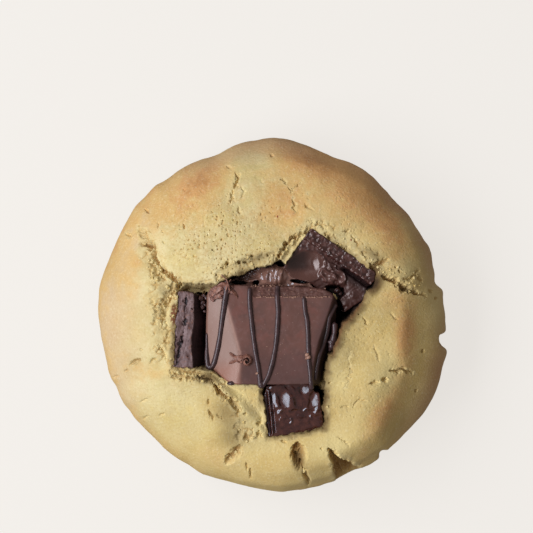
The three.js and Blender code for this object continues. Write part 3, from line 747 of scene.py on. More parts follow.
    # chocolate left on the dough: the hollow's inside and its eastern lip, with painted shade making the hollow's
    # inside near black
    wob = 1.4 * noise(kx / 1.1, ky / 1.1, 55) + 0.6 * noise(kx / 0.5, ky / 0.5, 56)
    hollow_stain_and_shade = ramp(0.6, 5.2, sd) * (1 - shelf) * (1 - corner)
    # painted shade on the dough shelf and corner inside the hollow
    deep = np.maximum(deep, np.maximum(0.30 * shelf, 0.5 * corner) * ramp(0.0, 1.5, sd))
    hollow_stain_and_shade = np.maximum(hollow_stain_and_shade, ramp(-0.2, 1.4, sd) * ramp(212, 226, u) * ramp(330, 300, v))
    hollow_stain_and_shade = np.maximum(hollow_stain_and_shade, ramp(-1.2, 3.6, sd + 0.5 * wob) * ramp(318, 330, u) * ramp(283, 296, v))
    smear = 1.5 * blob(u + 1.6 * noise(u / 2.5, v / 2.5, 60), v + 1.6 * noise(u / 2.5, v / 2.5, 61), 172.8, 315, 3.2, 10.5, 3) * ramp(-0.3, 0.15, 0.28 + noise(u / 2.2, v / 2.2, 57))
    smear = np.maximum(smear, 0.5 * ramp(-3.5, -0.5, sd + wob) * ramp(322, 334, u) * ramp(288, 302, v) * ramp(372, 352, v))
    # dough discoloured by fat and cocoa beside the toppings, with painted shade: darker patches where the toppings,
    # lips and cracks shade the dough
    near_in = sd + 0.6 * wob
    stain_and_painted_shade = 0.95 * ramp(-11.0, -1.0, near_in) * ramp(316, 326, u) * ramp(296, 306, v) * ramp(372, 356, v)
    stain_and_painted_shade = np.maximum(stain_and_painted_shade, 0.92 * ramp(-9.0, 0.5, near_in) * ramp(316, 324, u) * ramp(352, 362, v) * (1 - 0.35 * blob(u, v, 322, 383, 10, 9)))
    stain_and_painted_shade = np.maximum(stain_and_painted_shade, 0.70 * ramp(-6.0, 0.5, near_in) * ramp(262, 270, u) * ramp(420, 428, v))
    stain_and_painted_shade = np.maximum(stain_and_painted_shade, 0.72 * ramp(-11.0, -0.5, near_in) * ramp(184, 178, u) * ramp(296, 308, v) * ramp(372, 362, v))
    stain_and_painted_shade = np.maximum(stain_and_painted_shade, 0.55 * ramp(-6.0, 0.0, near_in) * ramp(216, 206, u) * ramp(366, 370, v))
    stain_and_painted_shade = np.maximum(stain_and_painted_shade, 0.45 * ramp(-3.0, 0.5, near_in))
    stain_and_painted_shade = np.maximum(stain_and_painted_shade, 0.55 * ramp(-9.0, -0.5, near_in) * ramp(314, 330, u) * ramp(288, 276, v))
    stain_and_painted_shade = np.maximum(stain_and_painted_shade, 1.3 * blob(u, v, 376.5, 270, 4.5, 7, 0))
    stain_and_painted_shade = np.maximum(stain_and_painted_shade, 1.6 * blob(u, v, 374.5, 283.5, 8, 13, 32) + 0.75 * blob(u, v, 407.5, 289.5, 7, 3.6, 25))
    stain_and_painted_shade = np.maximum(stain_and_painted_shade, 0.62 * blob(u, v, 375, 256, 12, 8, 35) + 0.35 * blob(u, v, 358, 248, 10, 5, 35))
    stain_and_painted_shade = np.maximum(stain_and_painted_shade, 0.24 * blob(u, v, 281, 186, 24, 34))
    stain_and_painted_shade = np.maximum(stain_and_painted_shade, 0.9 * ramp(-7.0, 0.5, near_in) * ramp(242, 250, u) * ramp(276, 266, u) * ramp(385, 391, v) * ramp(416, 402, v))
    stain_and_painted_shade = np.maximum(stain_and_painted_shade, 0.85 * blob(u, v, 299, 464, 7.5, 9, -4))
    stain_and_painted_shade = np.maximum(stain_and_painted_shade, 0.56 * blob(u, v, 228, 414, 16, 24, -30) + 0.4 * blob(u, v, 230, 440, 20, 11))
    stain_and_painted_shade = np.maximum(stain_and_painted_shade, 0.85 * blob(u, v, 241, 273.5, 8, 4, -14) + 0.45 * blob(u, v, 246, 262, 26, 6, -16) + 0.3 * blob(u, v, 262, 256, 14, 6, -12))
    stain_and_painted_shade = np.maximum(stain_and_painted_shade, 0.80 * ramp(-10.0, 0.0, near_in) * ramp(350, 360, u) * ramp(276, 286, v))
    stain_and_painted_shade = np.maximum(stain_and_painted_shade, 0.32 * blob(u, v, 236, 420, 7, 20, -8))
    stain_and_painted_shade = np.maximum(stain_and_painted_shade, 1.0 * blob(u, v, 206, 378, 14, 6.5, 8))
    stain_and_painted_shade = np.maximum(stain_and_painted_shade, 0.5 * blob(u, v, 166, 288, 9, 9) + 0.55 * blob(u, v, 161, 312, 6, 14, 0) * ramp(-0.3, 0.2, noise(u / 5, v / 5, 58)))
    stain_and_painted_shade = np.maximum(stain_and_painted_shade, 0.45 * blob(u, v, 186, 376, 22, 4.5, 2) * ramp(-0.35, 0.2, noise(u / 5, v / 4, 59)))

    rosy = ramp(0.84, 0.98, share) * ramp(-55, -25, az) * ramp(135, 105, az) * (z > 4)
    # painted shade: darker patches on the open dough
    stain_and_painted_shade = np.maximum(stain_and_painted_shade, 0.22 * blob(u, v, 134, 362, 20, 13) + 0.22 * blob(u, v, 186, 426, 24, 17, 20) + 0.20 * blob(u, v, 112, 272, 16, 40))
    # painted light: lighter patches where the dough should look more brightly lit
    lift = 0.75 * blob(u, v, 334, 446, 26, 13, -24) + 0.6 * blob(u, v, 386, 374, 13, 24, 20) + 0.8 * blob(u, v, 241, 402, 6, 15, -22)
    lift = lift + 0.45 * blob(u, v, 340, 384, 10, 16) + 0.35 * blob(u, v, 352, 190, 34, 20, 36) + 0.55 * blob(u, v, 348, 166, 40, 12, 36) + 0.5 * blob(u, v, 324, 152, 20, 8, 20)
    lift = lift + 0.5 * blob(u, v, 214, 150, 20, 8, -15) + 0.7 * blob(u, v, 437, 304, 10, 30) + 0.6 * blob(u, v, 419, 222, 10, 18, 60) + 0.6 * blob(u, v, 260, 431, 6, 8) + 0.85 * blob(u, v, 408, 268, 10, 10)

    grid_pts = np.stack([x, y, z], -1)
    layers = {
        "brown": np.clip(brown, 0, 1.4), "crumb": np.clip(crumb, 0, 1), "deep": deep,
        "gap": np.clip(gap, 0, 1), "pink": west * ramp(4, 10, z), "pore": pores,
        "hollow_stain_and_shade": np.clip(hollow_stain_and_shade, 0, 1), "smear": np.clip(smear, 0, 1), "lobe": lobe, "stain_and_painted_shade": np.clip(stain_and_painted_shade, 0, 1.6), "lift": np.clip(lift, 0, 1), "rosy": rosy,
        "warm": np.clip(ramp(330, 400, v + 0.35 * (u - 272)) + 0.4 * ramp(350, 400, u), 0, 1),
        "gold": np.clip(ramp(280, 372, u - 0.15 * np.abs(v - 320)) * 0.8 + 0.7 * ramp(425, 470, v)
                        + 0.8 * blob(u, v, 254, 398, 7, 10, -20), 0, 1),
    }
    extra = np.stack([0.10 * layers["deep"], 0.06 * layers["gap"], 0.12 * pores, 0.2 * layers["hollow_stain_and_shade"],
                      0.1 * layers["smear"], 0.04 * layers["brown"]], -1)
    data = np.concatenate([grid_pts, extra], -1).reshape(n + 1, n + 1, -1)
    # what lies under the toppings, and the underside, needs less
    care = 1 - 0.9 * ramp(7, 12, sd) * (v > 296)
    care = np.where(below, 0.5, care)
    tris = thinned(data, care.reshape(n + 1, n + 1), DOUGH_TRIS)
    used = np.zeros(len(x), bool)
    used[tris] = True
    place = np.cumsum(used) - 1
    loop = place[rim[used[rim]]]
    pts = np.concatenate([grid_pts[used], [[cx, cy, 0.0]]])
    centre = len(pts) - 1
    base = np.stack([loop, np.full(len(loop), centre), np.roll(loop, -1)], -1)
    layers = {key: np.append(value[used], 0.0) for key, value in layers.items()}
    return pts, np.concatenate([place[tris], base]), layers


# ------------------------------------------------------------------------------ toppings' heights
def fall(u, v, au, av, bu, bv):
    """How far a point lies, in mm, to the left of the line from a to b (seen in the photo's plan)."""
    ln = math.hypot(bu - au, bv - av)
    nu, nv = (bv - av) / ln, -(bu - au) / ln
    return ((u - au) * nu + (v - av) * nv) * CELL * 0.96


def praline_west(u, v):
    """Distances past the two ridges of the western side, in mm."""
    return fall(u, v, 240, 353, 224.5, 297), fall(u, v, 237.5, 384, 240.3, 350)


def praline_east(u, v):
    """Distance past the edge of the eastern side, in mm."""
    edge = np.interp(v, (284, 299, 306, 320, 342, 363, 384), (335, 332.5, 330.5, 325.8, 318.4, 313.6, 311.2))
    return (u - edge) * CELL * 0.96


def praline_top(u, v):
    plateau = 28.7 + (v - 297) / 86 * 1.6
    plateau = plateau + 0.10 * fbm(u / 30, v / 30, 2, 101) + 0.010 * noise(u / 4, v / 4, 104)
    d1, d2 = praline_west(u, v)
    west = smax(plateau - 0.34 * d1 - 0.018 * d1 * np.abs(d1), plateau - 0.38 * d2 - 0.03 * d2 * np.abs(d2), 0.6)
    z = smin(plateau, west, 0.34)
    # the northern end, rough and sunk east of the corner that kept its shape
    sunk = ramp(247, 258, u + 2.5 * noise(u / 5, v / 5, 103))
    north = np.maximum(0, 297.3 + 0.7 * noise(u / 4, 0.5, 105) - v) * CELL
    z = z - sunk * (0.25 * ramp(0, 0.3, north) + 0.36 * north)
    z = smin(z, plateau - 1.7 * praline_east(u, v), 0.45)
    rough = sunk * ramp(297.5, 295, v)
    z = z + rough * (0.13 * ridged(u / 7.5, v / 3.0, 2, 107) + 0.05 * noise(u / 2.6, v / 1.6, 109) - 0.05)
    return z


# ------------------------------------------------------------------------------ block of chocolate
def slab(name, outline_pts, n, top, base_z, material, soft=2.0, edge=0.5, draft=0.0, rag=0.0, seed=0,
         layers=None, skirt=7, side_noise=0.0):
    """A solid whose top is a height over a plan outline and whose sides go down to base_z.

    soft: how far corners are rounded, in grid steps; edge: radius of the top edge in mm;
    draft: how far the foot stands out from the top, in mm."""
    rho, phi, quads, rim = disc_grid(n)
    ring = np.asarray(outline_pts, float)
    closed = np.vstack([ring, ring[:1]])
    seg = np.hypot(*(closed[1:] - closed[:-1]).T)
    run = np.concatenate([[0], np.cumsum(seg)])
    m = 4 * n
    s = np.arange(m) / m * run[-1]
    bu = np.interp(s, run, closed[:, 0])
    bv = np.interp(s, run, closed[:, 1])
    # the outline runs anticlockwise seen from above (v points south)
    area = np.sum(bu * np.roll(bv, -1) - np.roll(bu, -1) * bv)
    if area > 0:
        bu, bv = bu[::-1].copy(), bv[::-1].copy()
    sig = max(soft / (run[-1] / m), 1e-3)
    half = int(sig * 3) + 1
    ker = np.exp(-0.5 * (np.arange(-half, half + 1) / sig) ** 2)
    ker /= ker.sum()
    bu = np.convolve(np.concatenate([bu[-half:], bu, bu[:half]]), ker, "valid")
    bv = np.convolve(np.concatenate([bv[-half:], bv, bv[:half]]), ker, "valid")
    if rag:
        ang = np.arange(m)
        du = np.roll(bv, -1) - np.roll(bv, 1)
        dv = -(np.roll(bu, -1) - np.roll(bu, 1))
        ln = np.hypot(du, dv) + 1e-9
        j = rag * (noise(bu / 5, bv / 5, seed + 1) + 0.6 * noise(bu / 2.1, bv / 2.1, seed + 2))
        bu, bv = bu + du / ln * j, bv + dv / ln * j
    mu, mv = bu.mean(), bv.mean()
    pos = (phi / (2 * math.pi)) % 1.0 * m
    i0 = np.floor(pos + 1e-9).astype(int) % m
    i1 = (i0 + 1) % m
    f = pos - np.floor(pos + 1e-9)
    u = mu + rho * (bu[i0] * (1 - f) + bu[i1] * f - mu)
    v = mv + rho * (bv[i0] * (1 - f) + bv[i1] * f - mv)
    rim_ring = np.stack([u[rim], v[rim]], -1)
    dist, _ = line_dist(u, v, np.vstack([rim_ring[:: max(1, m // 160)], rim_ring[:1]]))
    z = top(u, v)
    q = np.clip(1 - dist * CELL / max(edge, 1e-6), 0, 1)
    z = z - edge * (1 - np.sqrt(np.maximum(0, 1 - q * q)))
    x, y = plan(u, v, z)
    extra = {k: fn(u, v) for k, fn in (layers or {}).items()}
    pts = [np.stack([x, y, z], -1)]
    faces = [quads]
    above = rim
    count = len(u)
    gx, gy = x[rim], y[rim]
    cx, cy = gx.mean(), gy.mean()
    away = np.hypot(gx - cx, gy - cy) + 1e-9
    nx, ny = (gx - cx) / away, (gy - cy) / away
    z0 = z[rim]
    low = {k: [e] for k, e in extra.items()}
    for k in range(1, skirt + 1):
        t = (k / skirt) ** 1.3
        zz = z0 + (base_z - z0) * t
        push = draft * t - (1.2 * t**6)
        if side_noise:
            push = push + side_noise * ramp(0, 0.15, t) * noise(gx / 1.3 + zz / 1.1, gy / 1.3 - zz / 0.9, seed + 5)
        pts.append(np.stack([gx + nx * push, gy + ny * push, zz], -1))
        idx = np.arange(count, count + m)
        faces.append(ring_quads(above, idx))
        above = idx
        count += m
        for key in low:
            low[key].append(extra[key][rim])
    pts.append(np.array([[cx, cy, base_z]]))
    for key in low:
        low[key].append(np.array([0.0]))
    tris = np.stack([above, np.full(m, count), np.roll(above, -1)], -1)
    return make_mesh(name, np.concatenate(pts), np.concatenate(faces), tris, material,
                     {k: np.concatenate(e) for k, e in low.items()})


def tube(path, radius, sides=12, flat=0.85):
    """Points and faces of a closed round strand along a path in mm; radius is one number a point."""
    p = np.asarray(path, float)
    tang = np.gradient(p, axis=0)
    tang /= np.linalg.norm(tang, axis=1)[:, None] + 1e-9
    up = np.array([0.0, 0.0, 1.0])
    side = np.cross(tang, up)
    side /= np.linalg.norm(side, axis=1)[:, None] + 1e-9
    lift = np.cross(side, tang)
    a = np.arange(sides) / sides * 2 * math.pi
    rad = np.asarray(radius)[:, None, None]
    ring = p[:, None, :] + rad * (
        np.cos(a)[None, :, None] * side[:, None, :] + flat * np.sin(a)[None, :, None] * lift[:, None, :]
    )
    pts = ring.reshape(-1, 3)
    idx = np.arange(len(pts)).reshape(len(p), sides)
    quads = np.stack([idx[:-1], np.roll(idx[:-1], -1, 1), np.roll(idx[1:], -1, 1), idx[1:]], -1).reshape(-1, 4)
    ends = np.vstack([p[0] - tang[0] * radius[0] * 0.5, p[-1] + tang[-1] * radius[-1] * 0.5])
    a0, b0 = len(pts), len(pts) + 1
    tris = np.concatenate([
        np.stack([np.full(sides, a0), np.roll(idx[0], -1), idx[0]], -1),
        np.stack([np.full(sides, b0), idx[-1], np.roll(idx[-1], -1)], -1),
    ])
    return np.vstack([pts, ends]), quads, tris


def smooth_path(points, count):
    """A smooth run of count points through the given ones."""
    p = np.asarray(points, float)
    ext = np.vstack([2 * p[0] - p[1], p, 2 * p[-1] - p[-2]])
    t = np.linspace(0, len(p) - 1 - 1e-6, count)
    k = t.astype(int)
    f = (t - k)[:, None]
    a, b, c, d = ext[k], ext[k + 1], ext[k + 2], ext[k + 3]
    return 0.5 * (2 * b + (c - a) * f + (2 * a - 5 * b + 4 * c - d) * f**2 + (3 * b - a - 3 * c + d) * f**3)


def join(parts):
    """Joins (points, quads, tris) parts into one."""
    pts, quads, tris, n = [], [], [], 0
    for p, q, t in parts:
        pts.append(p)
        quads.append(np.asarray(q).reshape(-1, 4) + n)
        tris.append(np.asarray(t).reshape(-1, 3) + n)
        n += len(p)
    return np.concatenate(pts), np.concatenate(quads), np.concatenate(tris)


# ------------------------------------------------------------------------------ materials
class Nodes:
    def __init__(self, name):
        self.mat = bpy.data.materials.new(name)
        self.mat.use_nodes = True
        self.t = self.mat.node_tree
        self.t.nodes.clear()
        self.out = self.t.nodes.new("ShaderNodeOutputMaterial")
        self.bsdf = self.t.nodes.new("ShaderNodeBsdfPrincipled")
        self.t.links.new(self.bsdf.outputs[0], self.out.inputs[0])
        self.coord = self.t.nodes.new("ShaderNodeTexCoord").outputs["Object"]

    def link(self, a, b):
        self.t.links.new(a, b)

    def put(self, sock, value):
        if hasattr(value, "is_output") or isinstance(value, bpy.types.NodeSocket):
            self.link(value, sock)
        else:
            sock.default_value = value

    def attr(self, name):
        n = self.t.nodes.new("ShaderNodeAttribute")
        n.attribute_name = name
        return n.outputs["Fac"]

    def noise(self, size_mm, detail=3.0, rough=0.5, distort=0.0, stretch=None):
        n = self.t.nodes.new("ShaderNodeTexNoise")
        n.inputs["Scale"].default_value = 1000.0 / size_mm
        n.inputs["Detail"].default_value = detail
        n.inputs["Roughness"].default_value = rough
        n.inputs["Distortion"].default_value = distort
        self.link(self.mapped(stretch), n.inputs["Vector"])
        return n.outputs["Fac"]

    def mapped(self, stretch):
        if stretch is None:
            return self.coord
        m = self.t.nodes.new("ShaderNodeMapping")
        m.inputs["Scale"].default_value = stretch
        self.link(self.coord, m.inputs["Vector"])
        return m.outputs[0]

    def voronoi(self, size_mm, feature="F1", randomness=1.0):
        n = self.t.nodes.new("ShaderNodeTexVoronoi")
        n.feature = feature
        n.inputs["Scale"].default_value = 1000.0 / size_mm
        n.inputs["Randomness"].default_value = randomness
        self.link(self.coord, n.inputs["Vector"])
        return n.outputs["Distance"]

    def span(self, value, a, b, lo=0.0, hi=1.0, smooth=True):
        n = self.t.nodes.new("ShaderNodeMapRange")
        n.interpolation_type = "SMOOTHSTEP" if smooth else "LINEAR"
        n.clamp = True
        self.put(n.inputs["Value"], value)
        n.inputs["From Min"].default_value = a
        n.inputs["From Max"].default_value = b
        n.inputs["To Min"].default_value = lo
        n.inputs["To Max"].default_value = hi
        return n.outputs["Result"]

    def math(self, op, a, b=0.0):
        n = self.t.nodes.new("ShaderNodeMath")
        n.operation = op
        self.put(n.inputs[0], a)
        self.put(n.inputs[1], b)
        return n.outputs[0]

    def mix(self, fac, a, b, mode="MIX"):
        n = self.t.nodes.new("ShaderNodeMix")
        n.data_type = "RGBA"
        n.blend_type = mode
        self.put(n.inputs["Factor"], fac)
        self.put(n.inputs[6], a)
        self.put(n.inputs[7], b)
        return n.outputs[2]

    def bump(self, height, distance_mm, strength=1.0, normal=None):
        n = self.t.nodes.new("ShaderNodeBump")
        n.inputs["Strength"].default_value = strength
        n.inputs["Distance"].default_value = distance_mm * MM
        self.link(height, n.inputs["Height"])
        if normal is not None:
            self.link(normal, n.inputs["Normal"])
        return n.outputs[0]


def lin(r, g, b, k=1.0):
    def one(c):
        c = c / 255.0
        return (c / 12.92 if c <= 0.04045 else ((c + 0.055) / 1.055) ** 2.4) * k

    return (one(r), one(g), one(b), 1.0)


def dough_material():
    m = Nodes("baked_dough")
    brown, crumb, deep, pink = m.attr("brown"), m.attr("crumb"), m.attr("deep"), m.attr("pink")
    pore, gap, hollow_stain_and_shade, smear = m.attr("pore"), m.attr("gap"), m.attr("hollow_stain_and_shade"), m.attr("smear")
    broad = m.noise(11.0, 4, 0.55)
    mid = m.noise(2.6, 4, 0.6)
    grain = m.noise(0.55, 3, 0.6)
    warm, lobe = m.attr("warm"), m.attr("lobe")
    pale = m.mix(m.span(broad, 0.35, 0.65), lin(222, 206, 155), lin(208, 187, 129))
    pale = m.mix(m.span(mid, 0.38, 0.66, 0.0, 0.5), pale, lin(226, 208, 164))
    south = m.mix(m.span(broad, 0.35, 0.65), lin(220, 198, 139), lin(206, 178, 115))
    pale = m.mix(m.math("MULTIPLY", warm, 0.9), pale, south)
    pale = m.mix(m.span(m.noise(5.2, 3, 0.6), 0.50, 0.64, 0.0, 0.4), pale, lin(222, 199, 128))
    golden = m.mix(m.span(mid, 0.35, 0.65), lin(212, 180, 113), lin(215, 188, 126))
    pale = m.mix(m.math("MULTIPLY", m.attr("gold"), 0.8), pale, golden)
    pale = m.mix(m.math("MULTIPLY", pink, 0.9), pale, lin(209, 179, 141))
    wob = m.math("ADD", brown, m.span(mid, 0.3, 0.7, -0.12, 0.12, False))
    wob = m.math("ADD", wob, m.span(grain, 0.3, 0.7, -0.06, 0.06, False))
    c = m.mix(m.span(wob, 0.05, 0.55), pale, lin(216, 178, 116))
    c = m.mix(m.span(wob, 0.45, 0.95), c, lin(211, 160, 104))
    c = m.mix(m.span(wob, 0.9, 1.4), c, lin(184, 130, 80))
    inner = m.mix(m.span(mid, 0.35, 0.65), lin(224, 205, 152), lin(210, 184, 126))
    c = m.mix(m.span(crumb, 0.1, 0.9, 0.0, 0.75), c, inner)
    c = m.mix(m.math("MULTIPLY", m.attr("rosy"), 0.6), c, lin(190, 150, 120))
    spread = m.span(m.noise(4.5, 2, 0.5), 0.38, 0.6)
    dots = m.math("MULTIPLY", m.span(m.voronoi(1.05), 0.09, 0.18, 1.0, 0.0), spread)
    c = m.mix(m.math("MULTIPLY", dots, m.span(lobe, 0.1, 0.9, 0.0, 0.8)), c, lin(168, 126, 66))
    tiny = m.math("MULTIPLY", m.span(m.voronoi(0.62), 0.15, 0.29, 1.0, 0.0), m.span(m.noise(2.6, 2, 0.5), 0.34, 0.56))
    c = m.mix(m.math("MULTIPLY", tiny, m.span(lobe, 0.0, 0.8, 0.22, 0.68)), c, lin(180, 140, 80))
    # painted shade in the pores
    c = m.mix(m.span(pore, 0.15, 0.9, 0.0, 0.6), c, lin(172, 128, 62))
    # painted shade in the holes between crumbs
    c = m.mix(m.span(gap, 0.15, 0.9, 0.0, 0.5), c, lin(182, 140, 74))
    # painted shade in cracks and on the hollow's shelves
    c = m.mix(m.span(deep, 0.12, 0.9, 0.0, 0.8), c, lin(162, 118, 60))
    mottle = m.math("MULTIPLY", m.span(m.noise(0.95, 4, 0.7), 0.36, 0.52, 1.0, 0.0), m.span(lobe, 0.0, 0.8, 0.12, 0.38))
    c = m.mix(mottle, c, lin(196, 158, 96))
    c = m.mix(m.math("MULTIPLY", m.span(m.noise(0.8, 4, 0.7), 0.52, 0.68), m.span(lobe, 0.0, 0.8, 0.10, 0.45)), c, lin(240, 226, 184))
    c = m.mix(m.span(grain, 0.30, 0.48, 0.22, 0.0), c, lin(180, 142, 84))
    c = m.mix(m.span(grain, 0.54, 0.70, 0.0, 0.30), c, lin(240, 226, 188))
    # painted light: the lift layer makes the dough paler
    c = m.mix(m.math("MULTIPLY", m.attr("lift"), 0.75), c, m.mix(m.span(wob, 0.35, 0.9), lin(240, 220, 158), lin(232, 182, 118)))
    # stained dough and painted shade: brown, near black where the layer runs above 1
    c = m.mix(m.math("MULTIPLY", m.span(m.attr("stain_and_painted_shade"), 0.0, 1.0), m.span(mid, 0.2, 0.7, 1.0, 0.85)), c, lin(100, 76, 44))
    c = m.mix(m.span(m.attr("stain_and_painted_shade"), 0.95, 1.5, 0.0, 0.9), c, lin(58, 38, 22))
    c = m.mix(m.span(smear, 0.25, 0.8, 0.0, 0.85), c, lin(112, 58, 34))
    # chocolate stain with painted shade: near black inside the hollow
    c = m.mix(m.span(hollow_stain_and_shade, 0.2, 0.8), c, lin(38, 24, 20))
    m.link(c, m.bsdf.inputs["Base Color"])
    m.bsdf.inputs["Roughness"].default_value = 0.82
    m.bsdf.inputs["Specular IOR Level"].default_value = 0.28
    h = m.math("ADD", m.span(grain, 0.25, 0.75, 0, 1, False), m.math("MULTIPLY", m.noise(0.28, 2, 0.5), 0.5))
    h = m.math("ADD", h, m.math("MULTIPLY", m.noise(1.3, 3, 0.6), 1.2))
    m.link(m.bump(h, 0.07, 0.9), m.bsdf.inputs["Normal"])
    return m.mat


def praline_material():
    m = Nodes("milk_chocolate")
    broad = m.noise(9.0, 2, 0.5)
    cloud = m.noise(3.2, 3, 0.55)
    fine = m.noise(0.5, 2, 0.5)
    west, east = m.attr("west"), m.attr("east")
    c = m.mix(m.span(broad, 0.35, 0.65), lin(98, 68, 62), lin(110, 73, 66))
    c = m.mix(m.span(m.noise(6.0, 3, 0.6, 0.6), 0.44, 0.66, 0.0, 0.6), c, lin(92, 66, 62))
    c = m.mix(m.span(cloud, 0.48, 0.68, 0.0, 0.55), c, lin(120, 74, 67))
    c = m.mix(m.span(m.noise(1.1, 3, 0.6), 0.45, 0.75, 0.0, 0.25), c, lin(132, 100, 98))
    # painted light: the western facets lighter, as lit from the lamp's side
    c = m.mix(m.math("MULTIPLY", west, 0.85), c, lin(134, 98, 86))
    c = m.mix(m.math("MULTIPLY", m.attr("warm"), 0.7), c, lin(146, 96, 80))
    # painted highlight along the western ridge
    c = m.mix(m.math("MULTIPLY", m.attr("ridge"), 0.55), c, lin(176, 136, 124))
    # darker along the eastern edge, painted shade, and over the southern part
    c = m.mix(m.math("MULTIPLY", m.attr("dim"), 0.55), c, lin(80, 56, 56))
    # painted shade: the eastern slope darker, turned away from the light
    c = m.mix(m.math("MULTIPLY", east, 0.9), c, lin(58, 46, 42))
    speck = m.voronoi(1.15)
    c = m.mix(m.span(speck, 0.05, 0.09, 0.40, 0.0), c, lin(186, 160, 150))
    north = m.attr("north")
    rough_n = m.noise(0.9, 4, 0.65, 0.6)
    c = m.mix(m.math("MULTIPLY", north, m.span(rough_n, 0.38, 0.6)), c, lin(84, 52, 46))
    c = m.mix(m.math("MULTIPLY", north, m.span(m.noise(0.7, 3, 0.6), 0.60, 0.72, 0.0, 0.5)), c, lin(140, 98, 84))
    m.link(c, m.bsdf.inputs["Base Color"])
    m.link(m.span(m.math("ADD", broad, m.math("MULTIPLY", north, 0.3)), 0.3, 0.9, 0.36, 0.46), m.bsdf.inputs["Roughness"])
    m.bsdf.inputs["Specular IOR Level"].default_value = 0.5
    m.bsdf.inputs["Specular Tint"].default_value = (1.0, 0.95, 0.93, 1.0)
    h = m.math("ADD", m.math("MULTIPLY", fine, 0.22), m.math("MULTIPLY", m.math("MULTIPLY", rough_n, north), 1.2))
    h = m.math("ADD", h, m.math("MULTIPLY", cloud, 0.5))
    m.link(m.bump(h, 0.10, 0.7), m.bsdf.inputs["Normal"])
    return m.mat


def dark_material(name, low, high, rough_lo, rough_hi, bump_mm, size, gloss=0.5, tint=(0.74, 0.86, 1.0, 1.0)):
    m = Nodes(name)
    n1 = m.noise(size, 4, 0.6, 0.4)
    n2 = m.noise(size * 0.35, 3, 0.6)
    c = m.mix(m.span(n1, 0.35, 0.65), low, high)
    m.link(c, m.bsdf.inputs["Base Color"])
    m.link(m.span(n1, 0.3, 0.7, rough_lo, rough_hi), m.bsdf.inputs["Roughness"])
    m.bsdf.inputs["Specular IOR Level"].default_value = gloss
    m.bsdf.inputs["Specular Tint"].default_value = tint
    h = m.math("ADD", n1, m.math("MULTIPLY", n2, 0.4))
    m.link(m.bump(h, bump_mm, 0.8), m.bsdf.inputs["Normal"])
    return m


def northeast_material():
    m = Nodes("dark_chocolate")
    pool, low, dark = m.attr("pool"), m.attr("low"), m.attr("dark")
    n1 = m.noise(1.3, 3, 0.6, 0.4)
    n2 = m.noise(0.45, 3, 0.6)
    c = m.mix(m.span(n1, 0.34, 0.66), lin(52, 27, 25), lin(80, 44, 38))
    c = m.mix(m.span(n2, 0.58, 0.72, 0.0, 0.3), c, lin(112, 78, 68))
    c = m.mix(m.math("MULTIPLY", low, 0.8), c, lin(66, 37, 33))
    # painted shade below the thick edge, over the slid layer
    c = m.mix(m.math("MULTIPLY", m.attr("under"), 0.8), c, lin(34, 22, 24))
    c = m.mix(m.math("MULTIPLY", pool, 0.9), c, lin(86, 54, 47))
    c = m.mix(m.math("MULTIPLY", m.attr("shade"), 0.9), c, lin(40, 24, 23))
    c = m.mix(m.math("MULTIPLY", m.attr("curl"), 0.6), c, lin(104, 72, 66))
    # painted shade: the open cave near black
    c = m.mix(dark, c, lin(28, 19, 19))
    m.link(c, m.bsdf.inputs["Base Color"])
    rough = m.span(n1, 0.3, 0.7, 0.29, 0.42)
    m.link(m.math("SUBTRACT", rough, m.math("MULTIPLY", pool, 0.10)), m.bsdf.inputs["Roughness"])
    m.bsdf.inputs["Specular IOR Level"].default_value = 0.8
    m.bsdf.inputs["Specular Tint"].default_value = (1.0, 0.90, 0.90, 1.0)
    h = m.math("ADD", n1, m.math("MULTIPLY", n2, 0.3))
    still = m.math("SUBTRACT", 1.0, m.math("MULTIPLY", m.math("MAXIMUM", pool, m.math("MULTIPLY", low, 0.6)), 0.92))
    m.link(m.bump(m.math("MULTIPLY", h, still), 0.10, 0.8), m.bsdf.inputs["Normal"])
    return m.mat


def south_material():
    m = Nodes("soft_chocolate")
    calm = m.attr("calm")
    n1 = m.noise(1.6, 3, 0.6, 0.5)
    n2 = m.noise(0.45, 3, 0.6)
    c = m.mix(m.span(n1, 0.35, 0.65), lin(62, 30, 25), lin(84, 45, 36))
    c = m.mix(m.span(n2, 0.56, 0.72, 0.0, 0.2), c, lin(104, 66, 52))
    m.link(c, m.bsdf.inputs["Base Color"])
    m.link(m.span(n1, 0.3, 0.7, 0.10, 0.20), m.bsdf.inputs["Roughness"])
    m.bsdf.inputs["Specular IOR Level"].default_value = 0.95
    m.bsdf.inputs["Specular Tint"].default_value = (0.76, 0.86, 1.0, 1.0)
    still = m.math("SUBTRACT", 1.0, m.math("MULTIPLY", calm, 0.7))
    h = m.math("ADD", n1, m.math("MULTIPLY", n2, 0.2))
    m.link(m.bump(m.math("MULTIPLY", h, still), 0.05, 0.8), m.bsdf.inputs["Normal"])
    return m.mat


def melt_material():
    m = Nodes("melted_chocolate")
    dark = m.attr("dark")
    n1 = m.noise(2.0, 3, 0.55, 0.5)
    n2 = m.noise(0.6, 3, 0.6)
    c = m.mix(m.span(n1, 0.35, 0.65), lin(118, 84, 74), lin(144, 106, 94))
    c = m.mix(m.span(n2, 0.55, 0.72, 0.0, 0.3), c, lin(160, 124, 110))
    # painted shade: the recess under the lobe and the holes darker
    c = m.mix(m.math("MULTIPLY", dark, 0.95), c, lin(46, 29, 27))
    m.link(c, m.bsdf.inputs["Base Color"])
    m.link(m.span(n1, 0.3, 0.7, 0.12, 0.22), m.bsdf.inputs["Roughness"])
    m.bsdf.inputs["Specular IOR Level"].default_value = 0.95
    m.bsdf.inputs["Specular Tint"].default_value = (0.74, 0.86, 1.0, 1.0)
    m.link(m.bump(m.math("ADD", n1, m.math("MULTIPLY", n2, 0.3)), 0.07, 0.7), m.bsdf.inputs["Normal"])
    return m.mat


